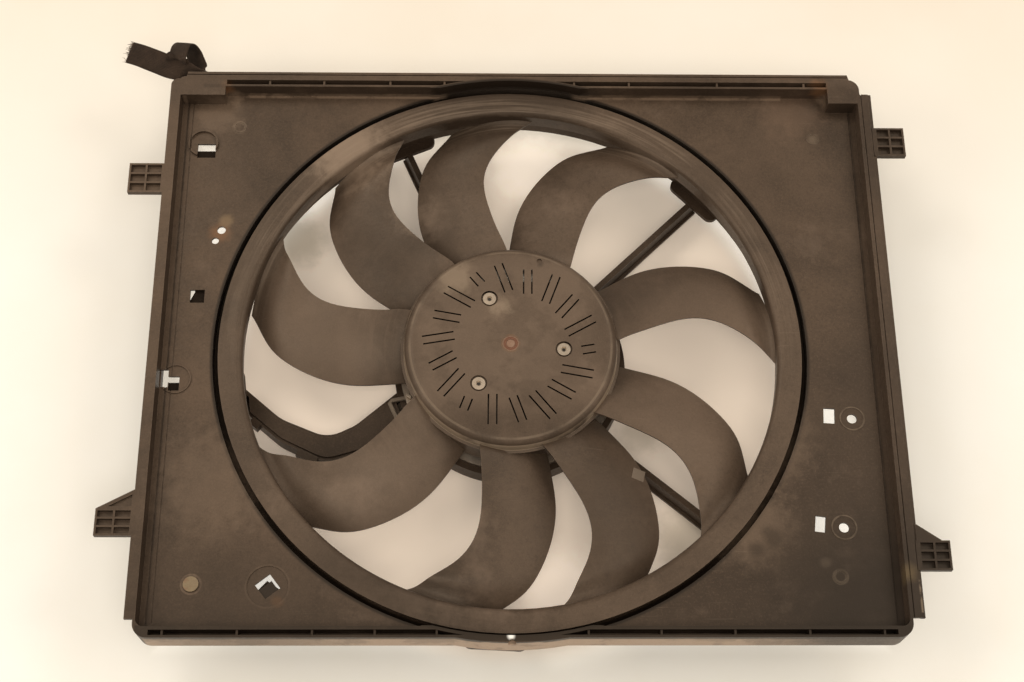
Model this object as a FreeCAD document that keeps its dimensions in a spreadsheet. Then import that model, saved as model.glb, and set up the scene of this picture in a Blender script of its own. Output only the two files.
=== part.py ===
import FreeCAD, Part
import Sketcher
import math
import os

# Radiator fan shroud with its fan and brushless motor, lying flat.
# The origin is on the fan axis at the flat back of the motor; +Z points to the radiator side,
# +X along the long side of the panel and +Y to the side with the webbing strap.

doc = FreeCAD.newDocument("radiator_fan_shroud")
sheet = doc.addObject("Spreadsheet::Sheet", "dims")
sheet_row = 0


class Q:
    """A dimension: its number, and the expression that binds it to the spreadsheet."""

    def __init__(self, value, text):
        self.value = float(value)
        self.text = text

    def __add__(self, o):
        return Q(self.value + q(o).value, "(%s + %s)" % (self.text, q(o).text))

    def __radd__(self, o):
        return q(o) + self

    def __sub__(self, o):
        return Q(self.value - q(o).value, "(%s - %s)" % (self.text, q(o).text))

    def __rsub__(self, o):
        return q(o) - self

    def __mul__(self, o):
        return Q(self.value * q(o).value, "(%s * %s)" % (self.text, q(o).text))

    def __rmul__(self, o):
        return q(o) * self

    def __truediv__(self, o):
        return Q(self.value / q(o).value, "(%s / %s)" % (self.text, q(o).text))

    def __neg__(self):
        return q(0) - self


def q(x):
    return x if isinstance(x, Q) else Q(x, repr(float(x)))


def cosd(a):
    return Q(math.cos(math.radians(q(a).value)), "cos(%s)" % q(a).text)


def sind(a):
    return Q(math.sin(math.radians(q(a).value)), "sin(%s)" % q(a).text)


def dim(alias, value, note):
    """Put one named size in the spreadsheet and give it back as a Q."""
    global sheet_row
    sheet_row += 1
    sheet.set("A%d" % sheet_row, note)
    sheet.set("B%d" % sheet_row, repr(float(value)))
    sheet.setAlias("B%d" % sheet_row, alias)
    return Q(value, "dims." + alias)


def bind(obj, prop, value):
    obj.setExpression(prop, q(value).text)


def place(obj, x=0, y=0, z=0, turn=0):
    """Bind the placement of an object: a turn about Z, then a move."""
    x, y, z, turn = q(x), q(y), q(z), q(turn)
    obj.Placement = FreeCAD.Placement(FreeCAD.Vector(x.value, y.value, z.value),
                                      FreeCAD.Rotation(FreeCAD.Vector(0, 0, 1), turn.value))
    for prop, value in (("Placement.Base.x", x), ("Placement.Base.y", y), ("Placement.Base.z", z)):
        if "dims" in value.text:
            bind(obj, prop, value)
    if "dims" in turn.text:
        bind(obj, "Placement.Rotation.Angle", turn)
    return obj


def box(name, x0, x1, y0, y1, z0, z1, turn=None):
    """A box between named planes; with turn, it is first laid out and then turned about the fan axis."""
    o = doc.addObject("Part::Box", name)
    for prop, size in (("Length", q(x1) - x0), ("Width", q(y1) - y0), ("Height", q(z1) - z0)):
        setattr(o, prop, size.value)
        bind(o, prop, size)
    if turn is None:
        return place(o, x0, y0, z0)
    c, s = cosd(turn), sind(turn)
    return place(o, q(x0) * c - q(y0) * s, q(x0) * s + q(y0) * c, z0, turn)


def cylinder(name, r, z0, z1, x=0, y=0):
    o = doc.addObject("Part::Cylinder", name)
    o.Radius, o.Height = q(r).value, (q(z1) - z0).value
    bind(o, "Radius", r)
    bind(o, "Height", q(z1) - z0)
    return place(o, x, y, z0)


def cone(name, r0, r1, z0, z1, x=0, y=0):
    o = doc.addObject("Part::Cone", name)
    o.Radius1, o.Radius2, o.Height = q(r0).value, q(r1).value, (q(z1) - z0).value
    bind(o, "Radius1", r0)
    bind(o, "Radius2", r1)
    bind(o, "Height", q(z1) - z0)
    return place(o, x, y, z0)


def fuse(name, shapes, refine=False):
    o = doc.addObject("Part::MultiFuse", name)
    o.Shapes = shapes
    o.Refine = refine
    return o


def cut(name, base, tool):
    o = doc.addObject("Part::Cut", name)
    o.Base, o.Tool = base, tool
    o.Refine = False
    return o


def common(name, a, b):
    o = doc.addObject("Part::MultiCommon", name)
    o.Shapes = [a, b]
    return o


def copies(name, source, turns, x=0, y=0, z=0):
    """Placed copies of one solid, turned about Z by each angle."""
    out = []
    for i, a in enumerate(turns):
        o = doc.addObject("Part::Compound", "%s_%d" % (name, i + 1))
        o.Links = [source]
        out.append(place(o, x, y, z, a))
    return out


def closed_sketch(body, role, points, name):
    """A closed outline of straight edges on one of the body's own planes, every corner dimensioned."""
    sk = body.newObject("Sketcher::SketchObject", name)
    plane = [f for f in body.Origin.OriginFeatures if f.Role == role][0]
    sk.AttachmentSupport = [(plane, "")]
    sk.MapMode = "FlatFace"
    pts = [(q(a), q(b)) for a, b in points]
    vec = [FreeCAD.Vector(a.value, b.value, 0) for a, b in pts]
    n = len(vec)
    sk.addGeometry([Part.LineSegment(vec[i], vec[(i + 1) % n]) for i in range(n)], False)
    sk.addConstraint([Sketcher.Constraint("Coincident", i, 2, (i + 1) % n, 1) for i in range(n)])
    for i, (a, b) in enumerate(pts):
        for kind, value in (("DistanceX", a), ("DistanceY", b)):
            k = sk.addConstraint(Sketcher.Constraint(kind, -1, 1, i, 1, value.value))
            if "dims" in value.text:
                sk.setExpression("Constraints[%d]" % k, value.text)
    return sk


def turned(name, points):
    """A solid of revolution about Z from an outline of (radius, height) corners."""
    body = doc.addObject("PartDesign::Body", name)
    sk = closed_sketch(body, "XZ_Plane", points, name + "_outline")
    rev = body.newObject("PartDesign::Revolution", name + "_turn")
    rev.Profile = sk
    rev.ReferenceAxis = (sk, ["V_Axis"])
    rev.Angle = 360
    sk.Visibility = False
    body.Tip = rev
    return body


def slab(name, points, z0, z1, rounds=(), turn=0):
    """A padded outline between two heights; rounds are (corner number, radius) of its upright edges."""
    body = doc.addObject("PartDesign::Body", name)
    sk = closed_sketch(body, "XY_Plane", points, name + "_outline")
    pad = body.newObject("PartDesign::Pad", name + "_pad")
    pad.Profile = sk
    pad.Length = (q(z1) - z0).value
    bind(pad, "Length", q(z1) - z0)
    sk.Visibility = False
    body.Tip = pad
    if rounds:
        doc.recompute()
        last = pad
        for k, (corner, radius) in enumerate(rounds):
            cx, cy = q(points[corner][0]).value, q(points[corner][1]).value
            edge = None
            for i, e in enumerate(last.Shape.Edges):
                a, b = e.Vertexes[0].Point, e.Vertexes[-1].Point
                if math.hypot(a.x - cx, a.y - cy) < 1e-4 and math.hypot(b.x - cx, b.y - cy) < 1e-4:
                    edge = "Edge%d" % (i + 1)
            f = body.newObject("PartDesign::Fillet", "%s_round_%d" % (name, k + 1))
            f.Base = (last, [edge])
            f.Radius = q(radius).value
            bind(f, "Radius", radius)
            body.Tip = f
            doc.recompute()
            last = f
    return place(body, 0, 0, z0, turn)


def rectangle(x0, x1, y0, y1):
    return [(x0, y0), (x1, y0), (x1, y1), (x0, y1)]


PARTS = []


def part(obj, label):
    """Keep an object as one of the named pieces of the assembly."""
    obj.Label = label
    PARTS.append(obj)
    return obj


# ---------------------------------------------------------------- levels and main sizes
panel_z = dim("panel_front", 75, "front face of the panel")
panel_t = dim("panel_thickness", 2.5, "thickness of the panel")
rim_z = dim("rim_top", 91, "plane of the rim that meets the radiator")
skirt_z = dim("skirt_bottom", 63, "lower edge of the outer wall")
wall = dim("wall_thickness", 2, "thickness of the outer walls")
west = dim("body_west", 284.4, "fan axis to the outer face of the left wall")
east = dim("body_east", 302.6, "fan axis to the outer face of the right wall")
inner_ns = dim("pocket_half_height", 235, "fan axis to the inner face of the top and bottom walls")
border_n = dim("top_border", 9.6, "width of the top border, from the pocket to the outer face")
border_s = dim("bottom_border", 8.6, "width of the bottom border, from the pocket to the outer face")
north, south = inner_ns + border_n, inner_ns + border_s
opening = dim("opening_radius", 242, "fan opening in the panel")
arc_t = dim("opening_wall", 2.4, "wall round the opening where it meets the rim")

panel_back = panel_z - panel_t

# ---------------------------------------------------------------- shroud: tray
round_low = dim("corner_radius_low", 11, "bottom corners of the tray")
round_ne = dim("corner_radius_right_top", 10, "top right corner of the tray")
round_nw = dim("corner_radius_left_top", 5, "top left corner of the tray")
pocket_round = dim("pocket_corner_radius", 6, "corners of the pocket in front of the panel")

tray = slab("tray_block", rectangle(-west, east, -south, north), skirt_z, rim_z,
            [(0, round_low), (1, round_low), (2, round_ne), (3, round_nw)])

bulge_half = dim("bulge_half_width", 108, "half width of the bow in the bottom wall")
bulge_wall = dim("bulge_wall", 5.4, "thickness of the bow in the bottom wall, from the opening outwards")
bulge_out = opening + bulge_wall
bulge = common("bulge_south", cylinder("bulge_disc", bulge_out, skirt_z, rim_z),
               box("bulge_limit", -bulge_half, bulge_half, -south - 20, -inner_ns, skirt_z, rim_z))

lip_wall = dim("lip_groove_setback", 1.6, "top wall to the thin groove in the lip")
lip_in = north + lip_wall
lip_groove = dim("lip_groove_width", 0.9, "width of the groove behind the top lip")
lip_reach = dim("lip_reach", 4.7, "reach of the top lip beyond the wall")
lip_west_in = dim("lip_west_setback", 5.6, "left end of the top lip, in from the left wall")
lip_east_in = dim("lip_east_setback", 9.4, "right end of the top lip, in from the right wall")
lip_out, lip_west, lip_east = north + lip_reach, west - lip_west_in, east - lip_east_in
lip_depth = dim("lip_depth", 9, "height of the top lip")
lip_slope = dim("lip_end_slope", 1.4, "slant of the lip's ends")
lip = slab("top_lip", [(-lip_west, north - 1), (lip_east + lip_slope, north - 1), (lip_east, lip_out),
                       (-lip_west + lip_slope, lip_out)], rim_z - lip_depth, rim_z)

pocket = slab("front_pocket", rectangle(-west + wall, east - wall - 0.2, -inner_ns, inner_ns),
              panel_z, rim_z + 1, [(0, pocket_round), (1, pocket_round), (2, 3), (3, 3)])
pocket_back = slab("rear_pocket",
                   rectangle(-west + wall, east - wall, -south + wall, north - wall),
                   skirt_z - 1, panel_back, [(0, round_low - wall), (1, round_low - wall)])

# the deep channel behind the top wall and the one behind the bottom wall, with their cross ribs
chan_t = dim("channel_wall", 1.9, "wall between the pocket and a channel")
chan_n_w = dim("channel_width_top", 4.5, "width of the top channel")
chan_s_w = dim("channel_width_bottom", 4.1, "width of the bottom channel")
chan_s_t = dim("channel_wall_bottom", 2.6, "wall between the pocket and the bottom channel")
chan_n = inner_ns + chan_t + chan_n_w
chan_s_in = inner_ns + chan_s_t
chan_s = chan_s_in + chan_s_w
chan_depth = dim("channel_depth", 13.5, "depth of the channels")
chan_w_in = dim("channel_top_west_setback", 40.9, "left end of the top channel, in from the left wall")
chan_e_in = dim("channel_top_east_setback", 28.2, "right end of the top channel, in from the right wall")
chan_low_in = dim("channel_bottom_setback", 12.2, "ends of the bottom channel, in from the side walls")
chan_w, chan_e = west - chan_w_in, east - chan_e_in
chan_sw, chan_se = west - chan_low_in, east - chan_low_in
rib_w = dim("channel_rib_width", 1.6, "width of the cross ribs in the channels")
rib_drop = dim("channel_rib_drop", 1.2, "drop of the cross ribs below the rim")
rib_top_x = [dim("top_rib_%s" % w, x, "cross rib of the top channel, across") for w, x in
             (("one", 206.6), ("two", 160), ("three", 103), ("four", 56.3))]
rib_top_e = [dim("top_rib_%s" % w, x, "cross rib of the top channel, across") for w, x in
             (("five", 55.7), ("six", 103.2), ("seven", 179.6), ("eight", 255))]
rib_low_x = [dim("bottom_rib_%s" % w, x, "cross rib of the bottom channel, across") for w, x in
             (("one", 261.9), ("two", 206), ("three", 149.9), ("four", 103.1), ("five", 56.7))]
rib_low_e = [dim("bottom_rib_%s" % w, x, "cross rib of the bottom channel, across") for w, x in
             (("six", 57.3), ("seven", 112.1), ("eight", 167.7), ("nine", 224.1), ("ten", 280.5))]

slot_top = box("slot_top_block", -chan_w, chan_e, inner_ns + chan_t, chan_n, rim_z - chan_depth, rim_z + 1)
slot_low = box("slot_low_block", -chan_sw, chan_se, -chan_s, -chan_s_in, rim_z - chan_depth, rim_z + 1)
rib_boxes = []
for i, x in enumerate([-x for x in rib_top_x] + rib_top_e):
    rib_boxes.append(box("rib_top_%d" % (i + 1), x - rib_w / 2, x + rib_w / 2, inner_ns, chan_n + 1,
                         rim_z - chan_depth - 1, rim_z - rib_drop))
for i, x in enumerate([-x for x in rib_low_x] + rib_low_e):
    rib_boxes.append(box("rib_low_%d" % (i + 1), x - rib_w / 2, x + rib_w / 2, -chan_s - 1, -inner_ns,
                         rim_z - chan_depth - 1, rim_z - rib_drop))
arc_keep = cylinder("opening_wall_disc", opening + arc_t, skirt_z, rim_z + 2)
channels = cut("channels", fuse("slot_blocks", [slot_top, slot_low]),
               fuse("channel_keep", rib_boxes + [arc_keep]))

groove_lip = box("lip_groove_cut", -lip_west, lip_east, lip_in, lip_in + lip_groove, rim_z - 2.5, rim_z + 1)

# ledges along the two sides
ledge_w_out = dim("ledge_west_reach", 6.6, "reach of the left ledge beyond the wall")
ledge_e_out = dim("ledge_east_reach", 9.7, "reach of the right ledge beyond the wall")
ledge_w, ledge_e = west + ledge_w_out, east + ledge_e_out
ledge_t = dim("ledge_thickness", 3, "thickness of the ledges")
ledge_wn = dim("ledge_west_top", 242.4, "upper end of the left ledge")
ledge_ws = dim("ledge_west_bottom", 229.6, "lower end of the left ledge")
ledge_en = dim("ledge_east_top", 230, "upper end of the right ledge")
ledge_es = dim("ledge_east_bottom", 228.8, "lower end of the right ledge")
ledge_step = dim("ledge_step", 2.6, "width of the lower outer step of the right ledge")
ledge_round = dim("ledge_corner", 6, "rounded upper corner of the left ledge")
ledges = [slab("ledge_left", rectangle(-ledge_w, -west + 1, -ledge_ws, ledge_wn), rim_z - ledge_t, rim_z,
               [(3, ledge_round)]),
          box("ledge_right", east - 1, ledge_e - ledge_step, -ledge_es, ledge_en, rim_z - ledge_t, rim_z),
          box("ledge_right_step", ledge_e - ledge_step - 1, ledge_e, -ledge_es, ledge_en,
              rim_z - ledge_t - 1, rim_z - 1)]

# corner blocks
blk_w_len = dim("left_block_length", 38, "length of the left corner block, from inside the wall")
blk_e_len = dim("right_block_length", 27.8, "length of the right corner block, to the wall's outer face")
blk_w_dep = dim("left_block_depth", 8.6, "depth of the left corner block, out of the top wall")
blk_e_dep = dim("right_block_depth", 14, "depth of the right corner block, out of the top wall")
blk_w0 = west - wall
blk_w1 = blk_w0 - blk_w_len
blk_e0 = east - blk_e_len
blk_ws, blk_es = inner_ns - blk_w_dep, inner_ns - blk_e_dep
blocks = [box("block_left", -blk_w0 - 0.5, -blk_w1, blk_ws, inner_ns + 3, panel_z - 1, rim_z),
          box("block_right", blk_e0, east - 1, blk_es, inner_ns + 3, panel_z - 1, rim_z)]

# lugs: open grids two cells wide and three high, two of them with a gusset
lug_d = dim("lug_depth", 5, "depth of the lugs")
lug_rib = dim("lug_rib", 1.6, "thickness of the lug ribs")
lug_w_len = dim("lug_length_west", 28.8, "length of the left lugs, out of the ledge")
lug_e_len = dim("lug_length_east", 24.8, "length of the right lugs, out of the ledge")
lug_lo_w, lug_lo_e = ledge_w + lug_w_len, ledge_e + lug_e_len
lug_floor = dim("lug_floor", 1.2, "floor under the cells of the lugs")


def lug(name, inner_x, outer_x, y0, y1, sign):
    """A lug from the wall at inner_x out to outer_x; sign is -1 on the left and 1 on the right."""
    a, b = (outer_x * sign, inner_x * sign) if sign < 0 else (inner_x, outer_x)
    frame = box(name + "_frame", a if sign < 0 else a - 2, b + 2 if sign < 0 else b, y0, y1, rim_z - lug_d,
                rim_z)
    cells = []
    across = (q(b) - a - lug_rib * 3) / 2
    up = (q(y1) - y0 - lug_rib * 4) / 3
    for i in range(2):
        for j in range(3):
            x = q(a) + lug_rib + (across + lug_rib) * i
            y = q(y0) + lug_rib + (up + lug_rib) * j
            cells.append(box("%s_cell_%d_%d" % (name, i, j), x, x + across, y, y + up,
                             rim_z - lug_d + lug_floor, rim_z + 1))
    return frame, cells


lug_nw0 = dim("lug_left_upper_low", 131.6, "lower side of the upper left lug")
lug_nw1 = dim("lug_left_upper_high", 159, "upper side of the upper left lug")
lug_sw0 = dim("lug_left_lower_low", 165, "lower side of the lower left lug")
lug_sw1 = dim("lug_left_lower_high", 143.4, "upper side of the lower left lug")
lug_ne0 = dim("lug_right_upper_low", 169.6, "lower side of the upper right lug")
lug_ne1 = dim("lug_right_upper_high", 196.6, "upper side of the upper right lug")
lug_se0 = dim("lug_right_lower_low", 192, "lower side of the lower right lug")
lug_se1 = dim("lug_right_lower_high", 168.6, "upper side of the lower right lug")
gus_w = dim("gusset_left_top", 128.1, "upper end of the left gusset")
gus_e = dim("gusset_right_top", 155.7, "upper end of the right gusset")
gus_t = dim("gusset_thickness", 3, "thickness of the gussets")
gus_in = dim("gusset_tip_setback", 6, "setback of the gusset's tip from the lug's end")
lugs = [lug("lug_nw", ledge_w, lug_lo_w, lug_nw0, lug_nw1, -1),
        lug("lug_sw", ledge_w, lug_lo_w, -lug_sw0, -lug_sw1, -1),
        lug("lug_ne", ledge_e, lug_lo_e, lug_ne0, lug_ne1, 1),
        lug("lug_se", ledge_e, lug_lo_e, -lug_se0, -lug_se1, 1)]
gussets = [slab("gusset_left", [(-lug_lo_w, -lug_sw1 - 1), (-ledge_w + 1, -lug_sw1 - 1),
                                (-ledge_w + 1, -gus_w),
                                (-ledge_w, -gus_w), (-lug_lo_w, -lug_sw1)], rim_z - gus_t, rim_z),
           slab("gusset_right", [(ledge_e - 1, -lug_se1 - 1), (lug_lo_e - gus_in, -lug_se1 - 1),
                                 (lug_lo_e - gus_in, -lug_se1), (ledge_e, -gus_e), (ledge_e - 1, -gus_e)],
                rim_z - gus_t, rim_z)]

gusset_pit = slab("gusset_pit", [(-lug_lo_w + 9, -lug_sw1 + 1.6), (-ledge_w - 1.5, -lug_sw1 + 1.6),
                                 (-ledge_w - 1.5, -gus_w - 4)], rim_z - gus_t + 1, rim_z + 1)

# collar behind the opening: a step, then a tapering barrel that carries the motor's spider
step_z = dim("collar_step", 61, "level of the step in the collar")
barrel_in = dim("barrel_setback", 13, "narrowing from the opening to the barrel's rear")
barrel_r = opening - barrel_in
barrel_z = dim("barrel_rear", 30, "rear edge of the barrel")
barrel_t = dim("barrel_thickness", 2.5, "thickness of the barrel")
collar = turned("collar", [(opening, panel_z), (opening, step_z + 3), (barrel_r + 2, step_z - 2),
                           (barrel_r, barrel_z), (barrel_r + barrel_t, barrel_z),
                           (barrel_r + 2 + barrel_t, step_z - 4.5), (opening + arc_t, step_z + 0.5),
                           (opening + arc_t, panel_z)])
opening_cut = cylinder("opening_cut", opening, step_z, rim_z + 2)

# stiffening ribs on the rear of the panel
back_rib_t = dim("back_rib_thickness", 1.8, "ribs on the rear of the panel")
back_rib_a = dim("back_rib_angle", 45, "first angle of the corner ribs")
back_rib_len = dim("back_rib_reach", 300, "reach of the corner ribs from the fan axis")
back_ribs = [box("back_rib_%d" % (i + 1), opening + 1, back_rib_len + reach, -back_rib_t / 2, back_rib_t / 2,
                 skirt_z + 2, panel_back + 0.5, back_rib_a + turn)
             for i, (turn, reach) in enumerate(((-9, 60), (9, 40), (81, 34), (93, 44),
                                                (171, 44), (189, 34), (261, 40), (279, 60)))]
back_limit = box("back_rib_limit", -west + 1, east - 1, -south + 1, north - 1, skirt_z, panel_z)
back_ribs = common("back_ribs", fuse("back_rib_set", back_ribs), back_limit)

# holes in the panel, with the raised rings round them
hole_top, hole_low = panel_z + 3, panel_back - 1
ring_h = dim("hole_ring_height", 0.7, "height of the raised rings round holes")
ring_w = dim("hole_ring_width", 0.9, "width of the raised rings round holes")
bolt_r = dim("bolt_hole_radius", 4, "right-hand pair of bolt holes")
bolt_ring = dim("bolt_ring_radius", 9.6, "raised ring round each bolt hole")
hx1_in = dim("bolt_one_setback", 28.6, "upper bolt hole, in from the right wall")
hx1 = east - hx1_in
hy1 = dim("bolt_one_down", 63, "upper bolt hole, down")
hx2_in = dim("bolt_two_setback", 42.6, "lower bolt hole, in from the right wall")
hx2 = east - hx2_in
hy2 = dim("bolt_two_down", 153.6, "lower bolt hole, down")
plain_r = dim("plain_hole_radius", 3.6, "round holes in the left part of the panel")
px1 = dim("plain_one_across", 241.8, "first plain hole, across")
py1 = dim("plain_one_up", 104.5, "first plain hole, up")
px2 = dim("plain_two_across", 246.3, "second plain hole, across")
py2 = dim("plain_two_up", 94.5, "second plain hole, up")
plain_r2 = dim("plain_two_radius", 3, "second plain hole")
sq_x = dim("square_hole_across", 257.7, "square hole, across")
sq_y = dim("square_hole_up", 43.4, "square hole, up")
sq_s = dim("square_hole_side", 11.8, "square hole, side")
dia_x = dim("diamond_across", 187, "turned square hole, across")
dia_y = dim("diamond_down", 200.5, "turned square hole, down")
dia_s = dim("diamond_side", 14, "turned square hole, side")
dia_turn = dim("diamond_turn", 38, "turn of the turned square hole")
dia_r = dim("diamond_recess_radius", 16, "round recess about the turned square hole")
arch_x = dim("arch_across", 259.3, "hole under the arch, across")
arch_y0 = dim("arch_hole_low", 173.5, "hole under the arch, lower side")
arch_y1 = dim("arch_hole_high", 187, "hole under the arch, upper side")
arch_w = dim("arch_hole_width", 15.5, "hole under the arch, width")
tee_in = dim("tee_setback", 4.7, "upright of the T-slot, in from the left wall")
tee_x = west - tee_in
tee_w = dim("tee_upright_width", 7.7, "upright of the T-slot, width")
tee_y0 = dim("tee_low", 37, "T-slot, lower end")
tee_y1 = dim("tee_high", 21.8, "T-slot, upper end")
tee_len = dim("tee_bar_length", 12.9, "length of the T-slot's bar, from the middle of its upright")
tee_bar = tee_x - tee_len
tee_by = dim("tee_bar_middle", 30.2, "middle of the T-slot's bar")
tee_bh = dim("tee_bar_height", 5, "height of the T-slot's bar")
win_w = dim("window_width", 9, "rectangular holes beside the bolt holes, width")
win_h = dim("window_height", 13, "rectangular holes beside the bolt holes, height")
wx1 = dim("window_one_across", 255.8, "upper rectangular hole, across")
wy1 = dim("window_one_down", 60.5, "upper rectangular hole, down")
wx2 = dim("window_two_across", 241.6, "lower rectangular hole, across")
wy2 = dim("window_two_down", 150.8, "lower rectangular hole, down")
win_turn = dim("window_turn", 7, "tilt of the rectangular holes")


def centred_hole(name, x, y, w, h, turn=0, z0=hole_low, z1=hole_top):
    """A rectangular cutter about a centre, turned in the plane of the panel."""
    o = doc.addObject("Part::Box", name)
    for prop, size in (("Length", q(w)), ("Width", q(h)), ("Height", q(z1) - z0)):
        setattr(o, prop, size.value)
        bind(o, prop, size)
    c, s = cosd(turn), sind(turn)
    return place(o, q(x) - q(w) / 2 * c + q(h) / 2 * s, q(y) - q(w) / 2 * s - q(h) / 2 * c, z0, turn)


def centred_box(name, x, y, w, h, z0, z1, turn):
    """A box about its middle, turned about Z."""
    c, s = cosd(turn), sind(turn)
    o = doc.addObject("Part::Box", name)
    for prop, size in (("Length", q(w)), ("Width", q(h)), ("Height", q(z1) - z0)):
        setattr(o, prop, size.value)
        bind(o, prop, size)
    return place(o, q(x) - q(w) / 2 * c + q(h) / 2 * s, q(y) - q(w) / 2 * s - q(h) / 2 * c, z0, turn)


def raised_ring(name, x, y, r, w=ring_w, h=ring_h):
    return cut(name, cylinder(name + "_outer", r + w / 2, panel_z - 0.5, panel_z + h, x, y),
               cylinder(name + "_inner", r - w / 2, panel_z - 0.6, panel_z + h + 1, x, y))


holes = [cylinder("bolt_hole_1", bolt_r, hole_low, hole_top, hx1, -hy1),
         cylinder("bolt_hole_2", bolt_r, hole_low, hole_top, hx2, -hy2),
         cylinder("plain_hole_1", plain_r, hole_low, hole_top, -px1, py1),
         cylinder("plain_hole_2", plain_r2, hole_low, hole_top, -px2, py2),
         centred_hole("square_hole", -sq_x, sq_y, sq_s, sq_s),
         centred_hole("diamond_hole", -dia_x, -dia_y, dia_s, dia_s, dia_turn),
         box("arch_hole", -arch_x - arch_w / 2, -arch_x + arch_w / 2, arch_y0, arch_y1, hole_low, hole_top),
         box("tee_upright", -tee_x - tee_w / 2, -tee_x + tee_w / 2, -tee_y0, -tee_y1, hole_low, hole_top),
         box("tee_bar", -tee_x, -tee_bar, -tee_by - tee_bh / 2, -tee_by + tee_bh / 2, hole_low, hole_top),
         box("tee_window", -tee_bar - 8.6, -tee_bar, -tee_y0 - 3, -tee_by, hole_low, hole_top),
         centred_hole("window_1", wx1, -wy1, win_w, win_h, -win_turn / 2),
         centred_hole("window_2", wx2, -wy2, win_w - 1, win_h, -win_turn)]
# catches moulded under four of the holes: each fills the hole's lower part behind the panel
catch_z = dim("catch_level", 71, "front face of the catches under the holes")
catch_t = dim("catch_thickness", 3.5, "thickness of the catches")
catch_foot = dim("catch_lap", 3, "lap of the catches behind the panel")


def catch(name, x0, x1, y0, y1):
    """A tongue behind the panel, joined to it by a foot along its lower edge."""
    return [box(name, x0, x1, y0 - catch_foot, y1, catch_z - catch_t, catch_z),
            box(name + "_foot", x0, x1, y0 - catch_foot, y0 - 0.2, catch_z - catch_t, panel_back + 0.5)]


catches = (catch("arch_catch", -arch_x - arch_w / 2, -arch_x + arch_w / 2, arch_y0, arch_y0 + 5.5)
           + catch("square_catch", -sq_x - sq_s / 2 + 3, -sq_x + sq_s / 2 + 1, sq_y - sq_s / 2,
                   sq_y + sq_s / 2 + 1)
           + catch("tee_catch", -tee_bar - 9.4, -tee_bar + 0.5, -tee_y0 - 3, -tee_by - tee_bh / 2 - 1.6))
catches += [centred_box("diamond_catch", -dia_x + 1.6, -dia_y - 4.4, dia_s - 1, dia_s - 1, catch_z - catch_t,
                        panel_back + 0.5, dia_turn)]

recess_d = dim("recess_depth", 0.8, "depth of the shallow recesses in the panel")
fold_w_in = dim("fold_line_west_setback", 6.8, "left fold line, in from the left wall")
fold_e_in = dim("fold_line_east_setback", 8, "right fold line, in from the right wall")
fold_w, fold_e = west - fold_w_in, east - fold_e_in
fold_t = dim("fold_line_width", 1.1, "width of the fold lines")
fold_gap = dim("fold_line_spacing", 4, "second fold line on the left, from the first")
marks = [cylinder("diamond_recess", dia_r, panel_z - recess_d, hole_top, -dia_x, -dia_y),
         box("fold_line_left", -fold_w - fold_t / 2, -fold_w + fold_t / 2, -ledge_ws, blk_ws,
             panel_z - recess_d, hole_top),
         box("fold_line_right", fold_e - fold_t / 2, fold_e + fold_t / 2, -ledge_es, blk_es - 2,
             panel_z - recess_d, hole_top),
         box("fold_line_left_inner", -fold_w + fold_gap, -fold_w + fold_gap + fold_t, -ledge_ws, blk_ws,
             panel_z - recess_d, hole_top)]
plug_x = dim("plug_across", 245.5, "blanking plug, across")
plug_y = dim("plug_down", 199, "blanking plug, down")
plug_r = dim("plug_stem_radius", 4, "stem of the blanking plug")
plug_hole = cylinder("plug_hole", plug_r + 0.1, hole_low, hole_top, -plug_x, -plug_y)
stud_r = dim("ejector_radius", 5, "faint round marks left by ejector pins")
rings = [raised_ring("bolt_ring_1", hx1, -hy1, bolt_ring), raised_ring("bolt_ring_2", hx2, -hy2, bolt_ring),
         raised_ring("ejector_1", -232, 203.6, stud_r, ring_w, ring_h / 2),
         raised_ring("ejector_2", 262, 194.5, stud_r, ring_w, ring_h / 2),
         raised_ring("ejector_3", 254, -193, stud_r, ring_w, ring_h / 2),
         raised_ring("arch_ring", -arch_x - 3, arch_y1, 12, ring_w + 0.6, 2.4),
         raised_ring("tee_ring", -tee_bar - 3, -tee_by, 12, ring_w, 1.2)]

ledge_line = box("ledge_line_right", east + 0.6, east + 1.5, -ledge_es - 1, ledge_en + 1, rim_z - 1.2,
                 rim_z + 1)
drain = cylinder("drain_notch", 3, rim_z - 8, rim_z + 1, 0, -bulge_out)


def round_edge(body, r, z, radius, name):
    """Round the circular edge of a turned body that lies at radius r and height z."""
    doc.recompute()
    last = body.Tip
    edge = None
    for i, e in enumerate(last.Shape.Edges):
        c = e.Curve
        if hasattr(c, "Radius") and abs(c.Radius - q(r).value) < 1e-4 and abs(c.Center.z - q(z).value) < 1e-4:
            edge = "Edge%d" % (i + 1)
    f = body.newObject("PartDesign::Fillet", name)
    f.Base = (last, [edge])
    f.Radius = q(radius).value
    bind(f, "Radius", radius)
    body.Tip = f
    return body


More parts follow.
